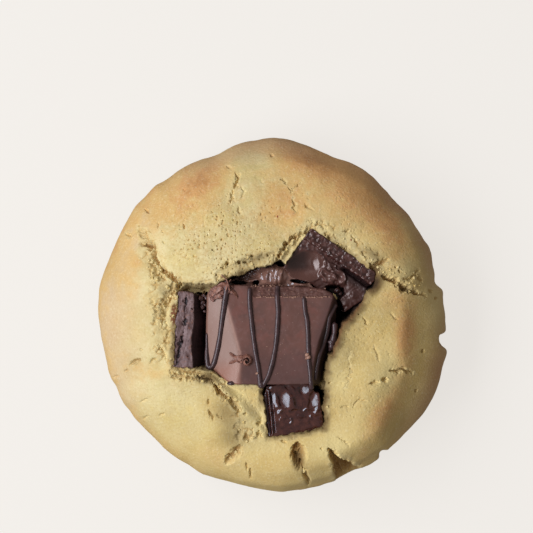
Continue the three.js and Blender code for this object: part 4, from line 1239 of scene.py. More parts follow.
def crumb_material():
    m = Nodes("dough_crumb")
    n1 = m.noise(0.5, 3, 0.6)
    c = m.mix(m.span(n1, 0.35, 0.65), lin(206, 178, 112), lin(228, 208, 158))
    m.link(c, m.bsdf.inputs["Base Color"])
    m.bsdf.inputs["Roughness"].default_value = 0.85
    m.bsdf.inputs["Specular IOR Level"].default_value = 0.25
    m.link(m.bump(n1, 0.10, 0.8), m.bsdf.inputs["Normal"])
    return m.mat


def west_material():
    m = Nodes("bloomed_chocolate")
    face = m.attr("face")
    n1 = m.noise(1.3, 4, 0.62, 0.3, (1.0, 0.5, 1.0))
    n2 = m.noise(0.45, 3, 0.6)
    top = m.mix(m.span(n1, 0.36, 0.62), lin(92, 66, 63), lin(132, 107, 107))
    top = m.mix(m.span(n2, 0.55, 0.7, 0.0, 0.5), top, lin(150, 132, 134))
    top = m.mix(m.span(m.noise(0.9, 3, 0.6), 0.57, 0.70, 0.0, 0.6), top, lin(136, 88, 68))
    # painted shade in the seam along the top
    top = m.mix(m.span(m.attr("groove"), 0.15, 0.9), top, lin(44, 31, 31))
    side = m.mix(m.span(n1, 0.35, 0.7), lin(48, 36, 40), lin(70, 50, 56))
    m.link(m.mix(face, top, side), m.bsdf.inputs["Base Color"])
    m.link(m.span(face, 0, 1, 0.55, 0.50), m.bsdf.inputs["Roughness"])
    m.bsdf.inputs["Specular IOR Level"].default_value = 0.45
    m.bsdf.inputs["Specular Tint"].default_value = (0.80, 0.88, 1.0, 1.0)
    h = m.math("ADD", n1, m.math("MULTIPLY", n2, 0.5))
    m.link(m.bump(h, 0.16, 0.8), m.bsdf.inputs["Normal"])
    return m.mat


MAT_DOUGH = dough_material()
MAT_PRALINE = praline_material()
MAT_WEST = west_material()
MAT_NE = northeast_material()
MAT_SOUTH = south_material()
MAT_MELT = melt_material()
MAT_DRIZZLE = dark_material("drizzle_chocolate", lin(58, 41, 42), lin(74, 52, 53), 0.27, 0.36, 0.05, 1.5, 0.55, (0.95, 0.93, 1.0, 1.0)).mat
MAT_SHAVING = dark_material("shaved_chocolate", lin(104, 64, 54), lin(150, 104, 90), 0.30, 0.44, 0.10, 0.8, 0.5, (1.0, 0.95, 0.93, 1.0)).mat
MAT_FLAP = dark_material("torn_chocolate", lin(88, 54, 48), lin(132, 90, 80), 0.30, 0.44, 0.08, 0.8, 0.6, (1.0, 0.93, 0.93, 1.0)).mat
MAT_BITS = dark_material("chocolate_dust", lin(142, 100, 84), lin(186, 146, 126), 0.5, 0.7, 0.05, 0.3).mat
MAT_BEAD = dark_material("bead_chocolate", lin(56, 34, 32), lin(84, 54, 48), 0.16, 0.3, 0.06, 0.7, 0.6).mat
MAT_SPECK = dark_material("speck_red", lin(140, 62, 40), lin(160, 80, 50), 0.6, 0.7, 0.03, 0.3).mat
MAT_CRUMB = crumb_material()

# ------------------------------------------------------------------------------ build: dough
pts, tris, layers = dough()
dough_pts = pts
cookie = make_mesh("dough_body", pts, [], tris, MAT_DOUGH, layers)
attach(cookie, "root")
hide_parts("cookie")

# ------------------------------------------------------------------------------ build: praline
PRALINE_OUT = [
    (207.0, 295), (210, 289), (215, 285.5), (224, 284.5), (240, 285), (256, 285.5), (285, 286), (310, 287),
    (324, 289), (333, 294), (336.5, 300), (336, 320), (333.5, 340), (327, 362), (319.5, 384.3), (300, 384.6),
    (270, 384.6), (242, 384.6), (234, 384.2), (227, 381.5), (221, 376.5), (213, 370), (207.5, 363),
    (205.8, 345), (206.2, 320),
]
praline = slab(
    "praline_bar", PRALINE_OUT, 170, praline_top, 17.0, MAT_PRALINE, soft=1.5, edge=0.42, draft=0.3,
    rag=0.22, seed=500, side_noise=0.12,
    layers={
        "north": lambda u, v: ramp(298.0, 296, v + 0.8 * noise(u / 5, v / 5, 3)) * ramp(247, 257, u + 2.5 * noise(u / 5, v / 5, 103)),
        "warm": lambda u, v: ramp(350, 368, v + 0.4 * (u - 238)) * ramp(243, 238, u),
        # painted light: the western facets lighter, as lit from the lamp's side
        "west": lambda u, v: ramp(-0.2, 0.5, np.minimum(*praline_west(u, v)) * (v > 340) + praline_west(u, v)[0] * (v <= 340)),
        # painted shade: the eastern slope darker, turned away from the light
        "east": lambda u, v: ramp(-0.1, 0.9, praline_east(u, v)),
        # painted highlight along the western ridge
        "ridge": lambda u, v: np.exp(-((np.where(v < 351, *praline_west(u, v)) / 0.32) ** 2)) * ramp(300, 312, v) * ramp(382, 366, v),
        # darker along the eastern edge, painted shade, and over the southern part
        "dim": lambda u, v: np.maximum(ramp(-3.0, 0.0, praline_east(u, v)) * ramp(366, 340, v), 1.0 * ramp(340, 368, v) * ramp(236, 250, u)),
    },
)
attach(praline, "root")
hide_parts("praline")


# ------------------------------------------------------------------------------ build: west piece
WEST_SEAM = [(187, 295), (185.5, 306), (186, 318), (183.5, 332), (180, 345), (178, 358), (176.5, 366)]


def west_edge(v):
    return 193.6 - 2.6 * ramp(318, 342, v) + 1.6 * ramp(346, 366, v) + 0.7 * noise(v / 3.6, v * 0, 127)


def west_seam(u, v):
    d, _ = line_dist(u + 1.6 * noise(u / 4, v / 4, 123) + 0.8 * noise(u / 1.8, v / 1.8, 124), v, WEST_SEAM)
    open_ = 0.25 + 0.9 * ramp(-0.25, 0.35, noise(v / 7, u * 0 + 0.5, 125)) + 0.5 * ramp(335, 350, v)
    return np.exp(-((d / (0.7 + 0.8 * open_)) ** 2)) * np.minimum(1, open_)


def west_top(u, v):
    z = 27.3 + 0.20 * fbm(u / 6, v / 10, 2, 121) + 0.05 * ridged(u / 3.4, v / 5.2, 2, 122)
    z = z - 0.60 * west_seam(u, v)
    z = z - 0.4 * scatter_pits(u, v, 5.0, 126, 0.25, 0.5, 1.1, 1.8)
    edge = west_edge(v)
    return smin(z, 27.45 - (u - edge) * CELL * 1.9, 0.22)


WEST_OUT = [
    (178, 291.3), (186, 291), (194.5, 293), (200, 294.5), (206.5, 297), (207, 330), (206.5, 367.5),
    (193.5, 369.3), (183, 368.2), (172.8, 366.3), (174.3, 330), (176, 305),
]
west_piece = slab(
    "west_chunk", WEST_OUT, 130, west_top, 14.5, MAT_WEST, soft=1.0, edge=0.35, rag=0.45, seed=520,
    side_noise=0.2,
    layers={
        "face": lambda u, v: ramp(-0.3, 1.2, u - west_edge(v)),
        # painted shade in the seam along the top
        "groove": west_seam,
    },
)
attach(west_piece, "root")
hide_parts("chunk_west")


# ------------------------------------------------------------------------------ build: north-east piece
NE_OUT = [
    (311.5, 228), (328, 239.3), (345, 250.7), (362, 262.7), (375.2, 271.5), (376.3, 275), (374, 281), (367.5, 288),
    (366, 293), (363.5, 299.8), (354, 306), (344.8, 312.3), (338, 308), (329, 298), (324, 291), (316, 287.5),
    (309, 282), (298, 279.5), (290, 276), (283.5, 267.5), (290, 256.5), (297, 247), (304, 237.5),
]
NE_CAVE = [(325.5, 286.5), (331, 284.5), (338, 285), (344, 287.5), (345.5, 294), (340, 299), (342.5, 305), (345, 312),
           (336, 309), (328, 299)]
NE_POOL = [(291, 260), (297, 253.5), (304, 250.5), (313, 251), (320, 254.5), (324.6, 260), (324.5, 266.5), (319.5, 271.5),
           (318.8, 278), (312, 281.5), (300, 281), (289, 279), (284, 270)]


def facet(u, v, cu, cv, ru, rv, turn, west, north=0.03, lift=0.0, seed=148):
    """A nearly flat patch in a surface, rising to the east by its slope and breaking off beyond."""
    a = math.radians(turn)
    wu = u + 0.9 * noise(u / 4, v / 4, seed) - cu
    wv = v + 0.9 * noise(u / 4, v / 4, seed + 2) - cv
    p = (wu * math.cos(a) + wv * math.sin(a)) / ru
    q = (-wu * math.sin(a) + wv * math.cos(a)) / rv
    w = np.exp(-((p * p + q * q) ** 3))
    return w * (lift + west * (u - cu) * CELL + north * (v - cv) * CELL)


def ne_frame(u, v):
    lu, lv = 0.8217, 0.5699
    return (u - 311) * lu + (v - 228.4) * lv, -(u - 311) * lv + (v - 228.4) * lu


def ne_band(u, v):
    along, across = ne_frame(u, v)
    return 1 - ramp(11.6, 13.4, across + 1.5 * noise(u / 5, v / 5, 133) + 0.5 * noise(u / 2.2, v / 2.2, 134))


def ne_pool(u, v):
    """Distance inside the smooth melted pool."""
    return signed(u + 0.9 * noise(u / 5, v / 5, 135), v + 0.9 * noise(u / 5, v / 5, 136), NE_POOL)


def ne_top(u, v):
    along, across = ne_frame(u, v)
    z = 28.7 - 0.010 * along - 0.030 * across
    band = ne_band(u, v)
    q = ne_pool(u, v)
    pool = ramp(-1.4, 1.2, q)
    wa = along + 1.8 * noise(u / 8, v / 8, 230)
    wc = across + 1.8 * noise(u / 8, v / 8, 231)
    spread = 0.55 + 0.9 * ramp(-0.3, 0.3, noise(along / 9, across / 7, 232))
    wrinkle = 0.15 * noise(wa / 3.4 + wc / 9.0, wc / 4.6, 131) + 0.09 * noise(wa / 2.3, wc / 2.5, 132) + 0.13 * ridged(wa / 7.5, wc / 6.5, 2, 130)
    z = z + np.maximum(band, 0.45 * (1 - pool)) * (1 - pool) * 1.05 * spread * wrinkle
    z = z + 0.22 * band * np.exp(-(((across - 10.8) / 2.2) ** 2)) * (1 - pool)
    z = z - (1 - band) * (0.35 + 0.85 * ramp(20, 42, along))
    # the melted pool, a smooth bowl that spills over the western corner
    bu, bv = (u - 304.0) * 0.94 - (v - 266.5) * 0.34, (u - 304.0) * 0.34 + (v - 266.5) * 0.94
    z = z - 1.0 * ramp(1.12, 0.2, np.hypot(bu / 20.5, bv / 16.0)) + 0.03 * pool * noise(u / 9, v / 9, 144)
    z = z + facet(u, v, 316.6, 264.0, 4.2, 7.0, -14, 0.16, 0.02)
    z = z + 0.16 * np.exp(-(((q + 0.6) / 1.2) ** 2)) * ramp(300, 312, u)
    # torn, curled chocolate beside the bowl
    for cu, cv, ru, rv, turn, h in ((328.5, 275.5, 8.5, 6.8, 40, 0.95), (341, 277, 4.8, 7.5, -18, 1.1), (331.5, 267.0, 7, 3.2, 38, 0.6)):
        w = ramp(0.15, 0.5, blob(u + 1.2 * noise(u / 3, v / 3, 145), v + 1.2 * noise(u / 3, v / 3, 146), cu, cv, ru, rv, turn))
        z = z + w * (h * 0.45 + 0.50 * h * ridged((u + 0.5 * v) / 11.0, (v - 0.6 * u) / 7.5, 1, 137) + 0.05 * noise(u / 3.0, v / 3.0, 138))
    # the gap between the thick edge and the layer that slid down
    groove = np.exp(-(((across - 15.3 - 0.6 * noise(along / 5, 0.5, 139)) / 1.5) ** 2)) * ramp(44, 54, along)
    z = z - 1.3 * groove
    # the slid layer, softly waved, with two glossy knuckles
    z = z + 0.35 * blob(u, v, 352.5, 296, 4.0, 3.4, -30) + 0.35 * blob(u, v, 345, 304, 4.0, 2.6, -30)
    z = z + 0.25 * blob(u, v, 350, 283, 4.0, 6.0, -20)
    # the open cave down to the dark
    wu = u + 0.9 * noise(u / 2.6, v / 2.6, 141)
    wv = v + 0.9 * noise(u / 2.6, v / 2.6, 142)
    z = z - 4.5 * ramp(-0.8, 3.4, signed(wu, wv, NE_CAVE))
    return z


ne_piece = slab(
    "northeast_chunk", NE_OUT, 180, ne_top, 18.0, MAT_NE, soft=0.9, edge=0.32, rag=0.4, seed=540, side_noise=0.15,
    layers={
        "pool": lambda u, v: ramp(-1.0, 1.0, ne_pool(u, v)),
        "shade": lambda u, v: ramp(-1.0, 1.5, ne_pool(u, v)) * ramp(316, 302, u) * ramp(274, 266, v),
        "curl": lambda u, v: np.maximum(ramp(0.2, 0.6, blob(u, v, 327.5, 275, 9, 7.0, 40)), ramp(0.2, 0.6, blob(u, v, 341, 277, 4.6, 7.5, -18))),
        "low": lambda u, v: (1 - ne_band(u, v)) * ramp(24, 40, ne_frame(u, v)[0]),
        # painted shade: the open cave near black
        "dark": lambda u, v: ramp(-0.5, 2.0, signed(u, v, NE_CAVE)),
        # painted shade below the thick edge, over the slid layer
        "under": lambda u, v: (1 - ne_band(u, v)) * ramp(26.0, 17.5, ne_frame(u, v)[1]) * ramp(42, 50, ne_frame(u, v)[0]),
    },
)
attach(ne_piece, "root")
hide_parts("chunk_northeast")


# ------------------------------------------------------------------------------ build: south piece
SOUTH_FACETS = [
    # middle, half-widths, turn, slope
    (275.0, 399.5, 3.9, 9.5, -16, 0.38), (286.2, 400.5, 7.6, 10.5, -22, 0.37), (305.6, 390.0, 6.6, 6.2, 25, 0.37),
    (315.0, 403.0, 6.0, 12.5, 8, 0.37), (270.2, 389, 2.6, 5.0, 0, 0.36), (290, 388.0, 5.5, 2.6, 35, 0.28),
    (299.0, 402.0, 3.0, 8.0, -10, 0.16),
]


def south_top(u, v):
    z = 27.3 - 0.012 * (v - 384) - 0.020 * (u - 266)
    z = z + 0.03 * fbm(u / 9, v / 9, 2, 141)
    wu = u + 1.0 * noise(u / 5, v / 5, 148)
    wv = v + 1.0 * noise(u / 5, v / 5, 150)
    for cu, cv, ru, rv, turn, slope in SOUTH_FACETS:
        z = z + facet(u, v, cu, cv, ru, rv, turn, slope)
    low = ramp(407, 412, v + 2.5 * noise(u / 5, v / 5, 143))
    z = z - 0.30 * low
    z = z + low * ramp(432, 424, v) * (0.10 * noise(wu / 6.5, wv / 4.0, 145) + 0.08 * ridged(wu / 10.0, wv / 7.0, 1, 146)) + 0.03 * low * noise(wu / 3, wv / 3, 144)
    for ridge, h in (
        ([(276.5, 414), (280, 411), (284.5, 409.6), (289, 411.5), (291, 414)], 0.26), ([(290, 412), (293.5, 408), (298, 407.6), (303, 410.5)], 0.24),
        ([(302, 412), (306, 409), (311, 408.6), (315, 411)], 0.24), ([(279, 421.5), (281.5, 418), (286, 417.4)], 0.20),
        ([(290, 425), (291.6, 421), (291, 417.5)], 0.20), ([(295, 419), (299, 416), (304, 417.5), (306, 420)], 0.22),
        ([(309, 417), (313, 414.5), (317, 416)], 0.20), ([(284, 414.5), (287, 416.8), (292, 416)], 0.16),
    ):
        d, along = line_dist(wu, wv, ridge)
        z = z + h * np.exp(-((d / 1.25) ** 2)) * ramp(0, 0.25, along) * ramp(1, 0.75, along)
    for a, b, w, h in (
        ((266.6, 392), (271.2, 434), 0.6, -0.45), ((268.4, 390), (272.8, 434), 0.8, 0.30), ((270.6, 392), (275.0, 432), 0.6, -0.45),
    ):
        d, _ = line_dist(u, v, [a, b])
        z = z + h * np.exp(-((d / w) ** 2))
    return z


SOUTH_OUT = [
    (266.4, 385.8), (278, 384.2), (292, 383.8), (309, 383.8), (312, 388), (315, 391.4), (319.3, 392.8),
    (321.0, 404), (323.0, 415), (323.8, 427.6), (312, 431.6), (303, 433.4), (288, 435.6), (276, 437),
    (268.7, 437.2), (266.8, 424), (265.5, 410), (263.6, 398.5), (265, 392),
]
south_piece = slab(
    "south_chunk", SOUTH_OUT, 150, south_top, 19.0, MAT_SOUTH, soft=0.8, edge=0.35, rag=0.35, seed=560,
    side_noise=0.12,
    layers={
        "calm": lambda u, v: np.clip(sum(
            np.exp(-((((u - c) / (a * 1.1)) ** 2 + ((v - d) / (b * 1.1)) ** 2) ** 2)) for c, d, a, b, _, _ in SOUTH_FACETS), 0, 1),
    },
)
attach(south_piece, "root")
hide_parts("chunk_south")


# ------------------------------------------------------------------------------ build: melted run
def melt_top(u, v):
    z = 25.3 + 0.25 * fbm(u / 9, v / 9, 2, 151) + 0.04 * np.maximum(0, u - 285)
    hump = ramp(0.1, 0.8, blob(u, v, 272.5, 275.5, 15, 11, -12))
    z = z + 1.9 * hump
    # the dark streaked recess below the lobe
    cave = ramp(0.15, 0.75, blob(u, v, 243, 275.5, 18, 7.5, -20))
    z = z - 0.5 * cave + cave * 0.45 * ridged((u + 2.4 * v) / 9, (v - 0.4 * u) / 2.4, 2, 152)
    # ripples on the hump, steep towards the window
    phase = (u * 0.97 + v * 0.18) / 0.72 + 1.5 * noise(u / 8, v / 8, 153)
    z = z + 0.12 * np.sin(phase) * ramp(0.25, 0.8, blob(u, v, 275, 276, 13, 10)) * (0.5 + 0.9 * ramp(-0.2, 0.3, noise(u / 4, v / 5, 154)))
    z = z + facet(u, v, 265, 276.5, 3.2, 4.2, -10, 0.42) + facet(u, v, 271.5, 278, 2.6, 4.0, -5, 0.42)
    # a narrow bridge along the praline, with holes beside it
    z = z + 1.3 * np.exp(-(((v - 280.6 + 0.12 * (u - 253)) / 2.2) ** 2)) * ramp(243, 250, u) * ramp(262, 256, u)
    for cu, cv, ru, rv, turn, deep in (
        (239.3, 282.6, 8.8, 1.7, 3, 3.5), (256.2, 282.5, 3.2, 2.5, -30, 4.5), (280.8, 263.2, 5.6, 3.0, 12, 5.0),
        (300, 281.3, 9.5, 2.0, 4, 4.0), (309, 279.8, 2.6, 1.8, 0, 3.0), (317.5, 285.2, 6.2, 2.8, 8, 3.5),
        (328, 288.2, 3.2, 2.6, 20, 3.0),
    ):
        w = ramp(0.25, 0.75, blob(u + 0.8 * noise(u / 3, v / 3, 155), v + 0.5 * noise(u / 3, v / 3, 156), cu, cv, ru, rv, turn))
        z = z - deep * w
    z = z + 1.6 * blob(u, v, 301, 284.6, 5.5, 1.6, 4)
    # tucked below the north-east piece's edge
    tuck = ramp(-1.2, 1.0, signed(u, v, NE_OUT))
    return z * (1 - tuck) + (ne_top(u, v) - 0.7) * tuck


MELT_OUT = [
    (225, 287), (228, 281), (236, 277), (246, 273), (252, 269.5), (259, 267), (268, 264.5), (275, 261),
    (281, 258.5), (287, 262.5), (294, 270), (305, 275), (318, 280), (331, 286), (337, 292), (330, 292),
    (310, 289), (290, 288.5), (262, 288), (240, 288),
]
melt_piece = slab(
    "melted_run", MELT_OUT, 160, melt_top, 17.6, MAT_MELT, soft=1.0, edge=0.4, rag=0.4, seed=580,
    # painted shade: the recess under the lobe and the holes darker
    layers={"dark": lambda u, v: np.maximum(
        0.6 * ramp(0.2, 0.8, blob(u, v, 240, 275, 20, 8.5, -20)),
        ramp(0.25, 0.75, np.maximum.reduce([
            blob(u, v, 239.3, 282.6, 9.5, 2.2, 3), blob(u, v, 256.2, 282.5, 3.6, 2.8, -30),
            blob(u, v, 280.8, 263.0, 6.2, 3.6, 12), blob(u, v, 300, 281.3, 10, 2.4, 4),
            blob(u, v, 317.5, 285.2, 6.8, 3.2, 8), blob(u, v, 328, 288.2, 3.8, 3, 20)])))},
)
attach(melt_piece, "root")
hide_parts("melted_chocolate")

# ------------------------------------------------------------------------------ build: drizzle
STRANDS = [
    # points on the plan grid, radius in mm
    ([(226.8, 280), (226.6, 285), (226, 293), (224.5, 303), (222.7, 316), (221, 328), (219.2, 341),
      (217.3, 351), (214.8, 361), (212.2, 366.8), (209.6, 367.8), (207.6, 363.5), (206.9, 353), (206.9, 343), (206.6, 333)], 0.70),
    ([(249.7, 287.6), (249.4, 296), (249.7, 306), (251.4, 321), (253, 336), (255, 350), (257, 361),
      (258.8, 373), (259.9, 381), (260.4, 388)], 0.57),
    ([(277.8, 285.5), (277.0, 292), (277.3, 301), (278, 311), (277.5, 322), (276.1, 341), (273.7, 356),
      (270.2, 370), (266.4, 380), (262, 387)], 0.60),
    ([(303.6, 296.6), (305, 311), (306.8, 321), (307.7, 333), (308.2, 346), (308.4, 354), (309.2, 366),
      (310.3, 376), (311.2, 384), (312, 389)], 0.57),
    ([(336.2, 304), (332.6, 311), (329.2, 318.5), (327.2, 331), (323.5, 345), (319.3, 356), (316.4, 370), (315, 380)], 0.56),
]
parts = []
for i, (line, radius) in enumerate(STRANDS):
    path = smooth_path(line, 90)
    u, v = path[:, 0], path[:, 1]
    u = u + 0.22 * noise(v / 13, u * 0 + i, 163)
    z = praline_top(u, v)
    z = np.where(v > 384, praline_top(u, np.full_like(v, 384.0)) - 0.14 * (v - 384), z)
    z = np.convolve(np.concatenate([z[:1].repeat(3), z, z[-1:].repeat(3)]), np.ones(7) / 7, "valid")
    z = np.maximum(z, 20.0) + 0.12 * radius
    x, y = plan(u, v, z)
    t = np.linspace(0, 1, len(u))
    ends = 0.35 + 0.65 * np.sqrt(np.clip(np.minimum(t, 1 - t) / 0.025, 0, 1))
    rad = radius * (1 + 0.13 * noise(t * 9, i * 3.7 + 0.5, 161) + 0.06 * noise(t * 31, i * 1.7 + 0.5, 162)) * ends
    if i == 0:
        rad = rad * (1 - 0.55 * ramp(0.80, 0.93, t))
    parts.append(tube(np.stack([x, y, z], -1), rad, 16, 0.9))


def ball(cu, cv, z, rx, ry, rz, turn=0.0, rough=0.2, seed=0, n=9):
    """A closed, uneven lump, half-widths in mm."""
    th = np.linspace(0, math.pi, n)[1:-1]
    ph = np.arange(2 * n) / (2 * n) * 2 * math.pi
    t, p = np.meshgrid(th, ph, indexing="ij")
    dirs = np.stack([np.sin(t) * np.cos(p), np.sin(t) * np.sin(p), np.cos(t)], -1).reshape(-1, 3)
    dirs = np.vstack([dirs, [[0, 0, 1], [0, 0, -1]]])
    k = 1 + rough * (noise(dirs[:, 0] * 1.3 + seed, dirs[:, 1] * 1.3 + dirs[:, 2] * 1.7, seed + 900)
                     + 0.6 * noise(dirs[:, 0] * 3.1 - dirs[:, 2] * 2.3, dirs[:, 1] * 3.1 + seed, seed + 901))
    pts = dirs * k[:, None] * np.array([rx, ry, rz])
    a = math.radians(turn)
    rot = np.array([[math.cos(a), math.sin(a), 0], [-math.sin(a), math.cos(a), 0], [0, 0, 1]])
    cx, cy = plan(cu, cv, z)
    pts = pts @ rot + np.array([cx, cy, z])
    m = 2 * n
    idx = np.arange((n - 2) * m).reshape(n - 2, m)
    quads = np.stack([idx[:-1], idx[1:], np.roll(idx[1:], -1, 1), np.roll(idx[:-1], -1, 1)], -1).reshape(-1, 4)
    top, low = (n - 2) * m, (n - 2) * m + 1
    tris = np.concatenate([
        np.stack([np.full(m, top), idx[0], np.roll(idx[0], -1)], -1),
        np.stack([np.full(m, low), np.roll(idx[-1], -1), idx[-1]], -1),
    ])
    return pts, quads, tris


def one(fn, u, v):
    return float(fn(np.array([float(u)]), np.array([float(v)]))[0])


# drips of the same chocolate: a drop at the praline's corner, lumps on the eastern lip
parts.append(ball(231.5, 383.2, one(praline_top, 232, 381) - 0.35, 1.05, 0.55, 0.8, 4, 0.15, 3, 12))
path = smooth_path([(334.4, 322), (334.8, 328), (334.2, 334), (333.2, 340), (331.6, 346), (329.4, 351)], 40)
z = np.interp(np.linspace(0, 1, 40), (0, 0.5, 1), (27.3, 27.2, 26.6))
x, y = plan(path[:, 0], path[:, 1], z)
t = np.linspace(0, 1, 40)
parts.append(tube(np.stack([x, y, z], -1), (0.62 + 0.28 * noise(t * 6, 0.5, 166) + 0.12 * noise(t * 15, 0.5, 167))
                  * (0.25 + 0.75 * np.sqrt(np.clip(np.minimum(t, 1 - t) / 0.12, 0, 1))), 16, 1.0))
parts.append(ball(331.2, 342.5, 26.9, 0.75, 0.9, 0.7, 20, 0.35, 21, 12))
# the thick ends where a strand turns
parts.append(ball(210.6, 367.2, one(praline_top, 211, 367) + 0.02, 0.95, 0.72, 0.62, 10, 0.15, 22, 12))
parts.append(ball(261.3, 384.6, one(praline_top, 261.3, 383) + 0.0, 0.72, 0.95, 0.6, 0, 0.15, 23, 12))
pts, quads, tris = join(parts)
drizzle = make_mesh("drizzle_strands", pts, quads, tris, MAT_DRIZZLE)
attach(drizzle, "root")


# ------------------------------------------------------------------------------ build: shavings
def ribbon(points, widths, twist, lift, thick=0.16, count=40):
    """A thin closed strip of chocolate: points on the plan grid, heights above the praline."""
    path = smooth_path(points, count)
    t = np.linspace(0, 1, count)
    at = np.linspace(0, 1, len(points))
    w = np.interp(t, at, widths)
    tw = np.radians(np.interp(t, at, twist))
    h = np.interp(t, at, lift)
    z = praline_top(path[:, 0], path[:, 1]) + h
    x, y = plan(path[:, 0], path[:, 1], z)
    p = np.stack([x, y, z], -1)
    tang = np.gradient(p, axis=0)
    tang /= np.linalg.norm(tang, axis=1)[:, None] + 1e-9
    side = np.cross(tang, [0.0, 0.0, 1.0])
    side /= np.linalg.norm(side, axis=1)[:, None] + 1e-9
    up = np.cross(side, tang)
    a = np.arange(12) / 12 * 2 * math.pi
    ca, sa = np.cos(a)[None, :, None], np.sin(a)[None, :, None]
    e1 = side * np.cos(tw)[:, None] + up * np.sin(tw)[:, None]
    e2 = -side * np.sin(tw)[:, None] + up * np.cos(tw)[:, None]
    th = thick * (1 + 0.4 * noise(t * 11, 0.5, 700))
    ring = p[:, None, :] + 0.5 * w[:, None, None] * ca * e1[:, None, :] + 0.5 * th[:, None, None] * sa * e2[:, None, :]
    jit = 0.03 * noise(ring[..., 0] * 4, ring[..., 1] * 4 + ring[..., 2] * 3, 701)
    pts = (ring + jit[..., None]).reshape(-1, 3)
    idx = np.arange(len(pts)).reshape(count, 12)
    quads = np.stack([idx[:-1], np.roll(idx[:-1], -1, 1), np.roll(idx[1:], -1, 1), idx[1:]], -1).reshape(-1, 4)
    a0, b0 = len(pts), len(pts) + 1
    tris = np.concatenate([
        np.stack([np.full(12, a0), np.roll(idx[0], -1), idx[0]], -1),
        np.stack([np.full(12, b0), idx[-1], np.roll(idx[-1], -1)], -1),
    ])
    return np.vstack([pts, p[:1], p[-1:]]), quads, tris


parts = [
    # the curl that lies on the praline: two tips, a body and a rolled head
    ribbon([(229.3, 352.6), (232, 355.0), (235.5, 357.6), (239, 359.0)], (0.2, 0.95, 1.1, 1.2), (20, 30, 20, 10), (0.34, 0.42, 0.42, 0.38), 0.26),
    ribbon([(228.6, 363.6), (231.6, 362.2), (235, 360.4), (238.5, 359.2)], (0.2, 0.9, 1.0, 1.0), (-30, -20, -20, 0), (0.3, 0.38, 0.42, 0.4), 0.26),
    ribbon([(237, 358.8), (240, 358), (243.5, 357.2), (246.5, 356.2)], (1.5, 1.6, 1.3, 1.1), (15, 35, 50, 60), (0.42, 0.55, 0.6, 0.6), 0.26),
    ribbon([(236.5, 359.8), (239.5, 361.2), (242.4, 362.3)], (1.0, 1.1, 0.4), (-20, -30, -30), (0.38, 0.42, 0.34), 0.26),
    ribbon([(242.3, 361.5), (242.6, 357.8), (246.8, 355.6), (250.6, 358.2), (250.8, 362.4), (247.4, 365.0),
            (244.4, 363.6), (244.2, 360.6), (246.4, 359.2), (247.8, 361)],
           (0.7, 1.2, 1.3, 1.2, 1.1, 1.1, 1.0, 0.9, 0.8, 0.5), (50, 60, 60, 60, 60, 60, 60, 60, 65, 70),
           (0.45, 0.55, 0.6, 0.6, 0.55, 0.55, 0.6, 0.65, 0.7, 0.7), 0.26, 70),
    # the spike and folded flakes at the praline's torn corner
    ribbon([(228.6, 290), (228.2, 285.5), (227.2, 281.5), (225.2, 278.2), (222.6, 276.2), (221.6, 274.4)],
           (1.3, 1.5, 1.1, 0.75, 0.5, 0.15), (60, 75, 85, 80, 70, 60), (0.3, 0.8, 1.2, 1.5, 1.7, 1.8), 0.30, 50),
    ribbon([(224.0, 292), (226.5, 286.5), (228.4, 282.2), (231.0, 279.5)], (0.9, 1.2, 0.9, 0.2), (40, 60, 80, 70), (0.3, 0.6, 0.9, 1.0), 0.25),
    ribbon([(212, 296), (215.5, 291.5), (219.5, 288.5), (223.5, 288.2)], (0.5, 1.4, 1.5, 0.6), (25, 30, 20, 10), (0.5, 0.7, 0.7, 0.5), 0.3),
    ribbon([(213.5, 299), (216.2, 297), (219.8, 295.5), (223, 292.5)], (0.4, 1.0, 1.1, 0.4), (35, 25, -10, 10), (0.3, 0.5, 0.5, 0.4), 0.25),
    ribbon([(230.4, 291), (233.2, 291.8), (236.0, 294.8), (237.4, 298)], (0.6, 1.0, 0.9, 0.2), (25, 30, 40, 30), (0.3, 0.4, 0.3, 0.2), 0.2),
    ribbon([(218.0, 285.6), (222.0, 284.4), (226.0, 284.6), (230, 286)], (0.4, 1.2, 1.2, 0.6), (-20, -30, -10, 10), (0.5, 0.7, 0.7, 0.5), 0.3),
]
pts, quads, tris = join(parts)
shavings = make_mesh("chocolate_shavings", pts, quads, tris, MAT_SHAVING)
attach(shavings, "root")

# the torn skin at the praline's north-west corner
FLAP_OUT = [
    (208.5, 297), (209.5, 291.5), (213.5, 287.0), (218, 284.5), (224, 283.3), (229, 283.6), (232.5, 286),
    (233, 290), (231.5, 294), (227.5, 292.5), (224, 295.5), (221, 300), (217.5, 298), (213.5, 302), (210, 300),
]


def flap_top(u, v):
    base = praline_top(u, v)
    fold = ridged((u + 0.4 * v) / 6.5, (v - 0.3 * u) / 4.5, 3, 171)
    return base + 0.28 + 0.34 * fold + 0.16 * noise(u / 2.0, v / 2.0, 173) + 0.25 * blob(u, v, 218, 290, 7, 5)


flap = slab("praline_flap", FLAP_OUT, 76, flap_top, 25.2, MAT_FLAP, soft=0.6, edge=0.25, rag=1.1, seed=600, side_noise=0.1)
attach(flap, "root")

# ------------------------------------------------------------------------------ build: crumbs
rng = np.random.default_rng(1107)


def dough_height(u, v):
    x0, y0 = plan(u, v, 27.0)
    d = np.hypot(dough_pts[:, 0] - x0, dough_pts[:, 1] - y0)
    near = d < 0.45
    if not near.any():
        near = d < 1.2
    return float(np.median(dough_pts[near, 2]))


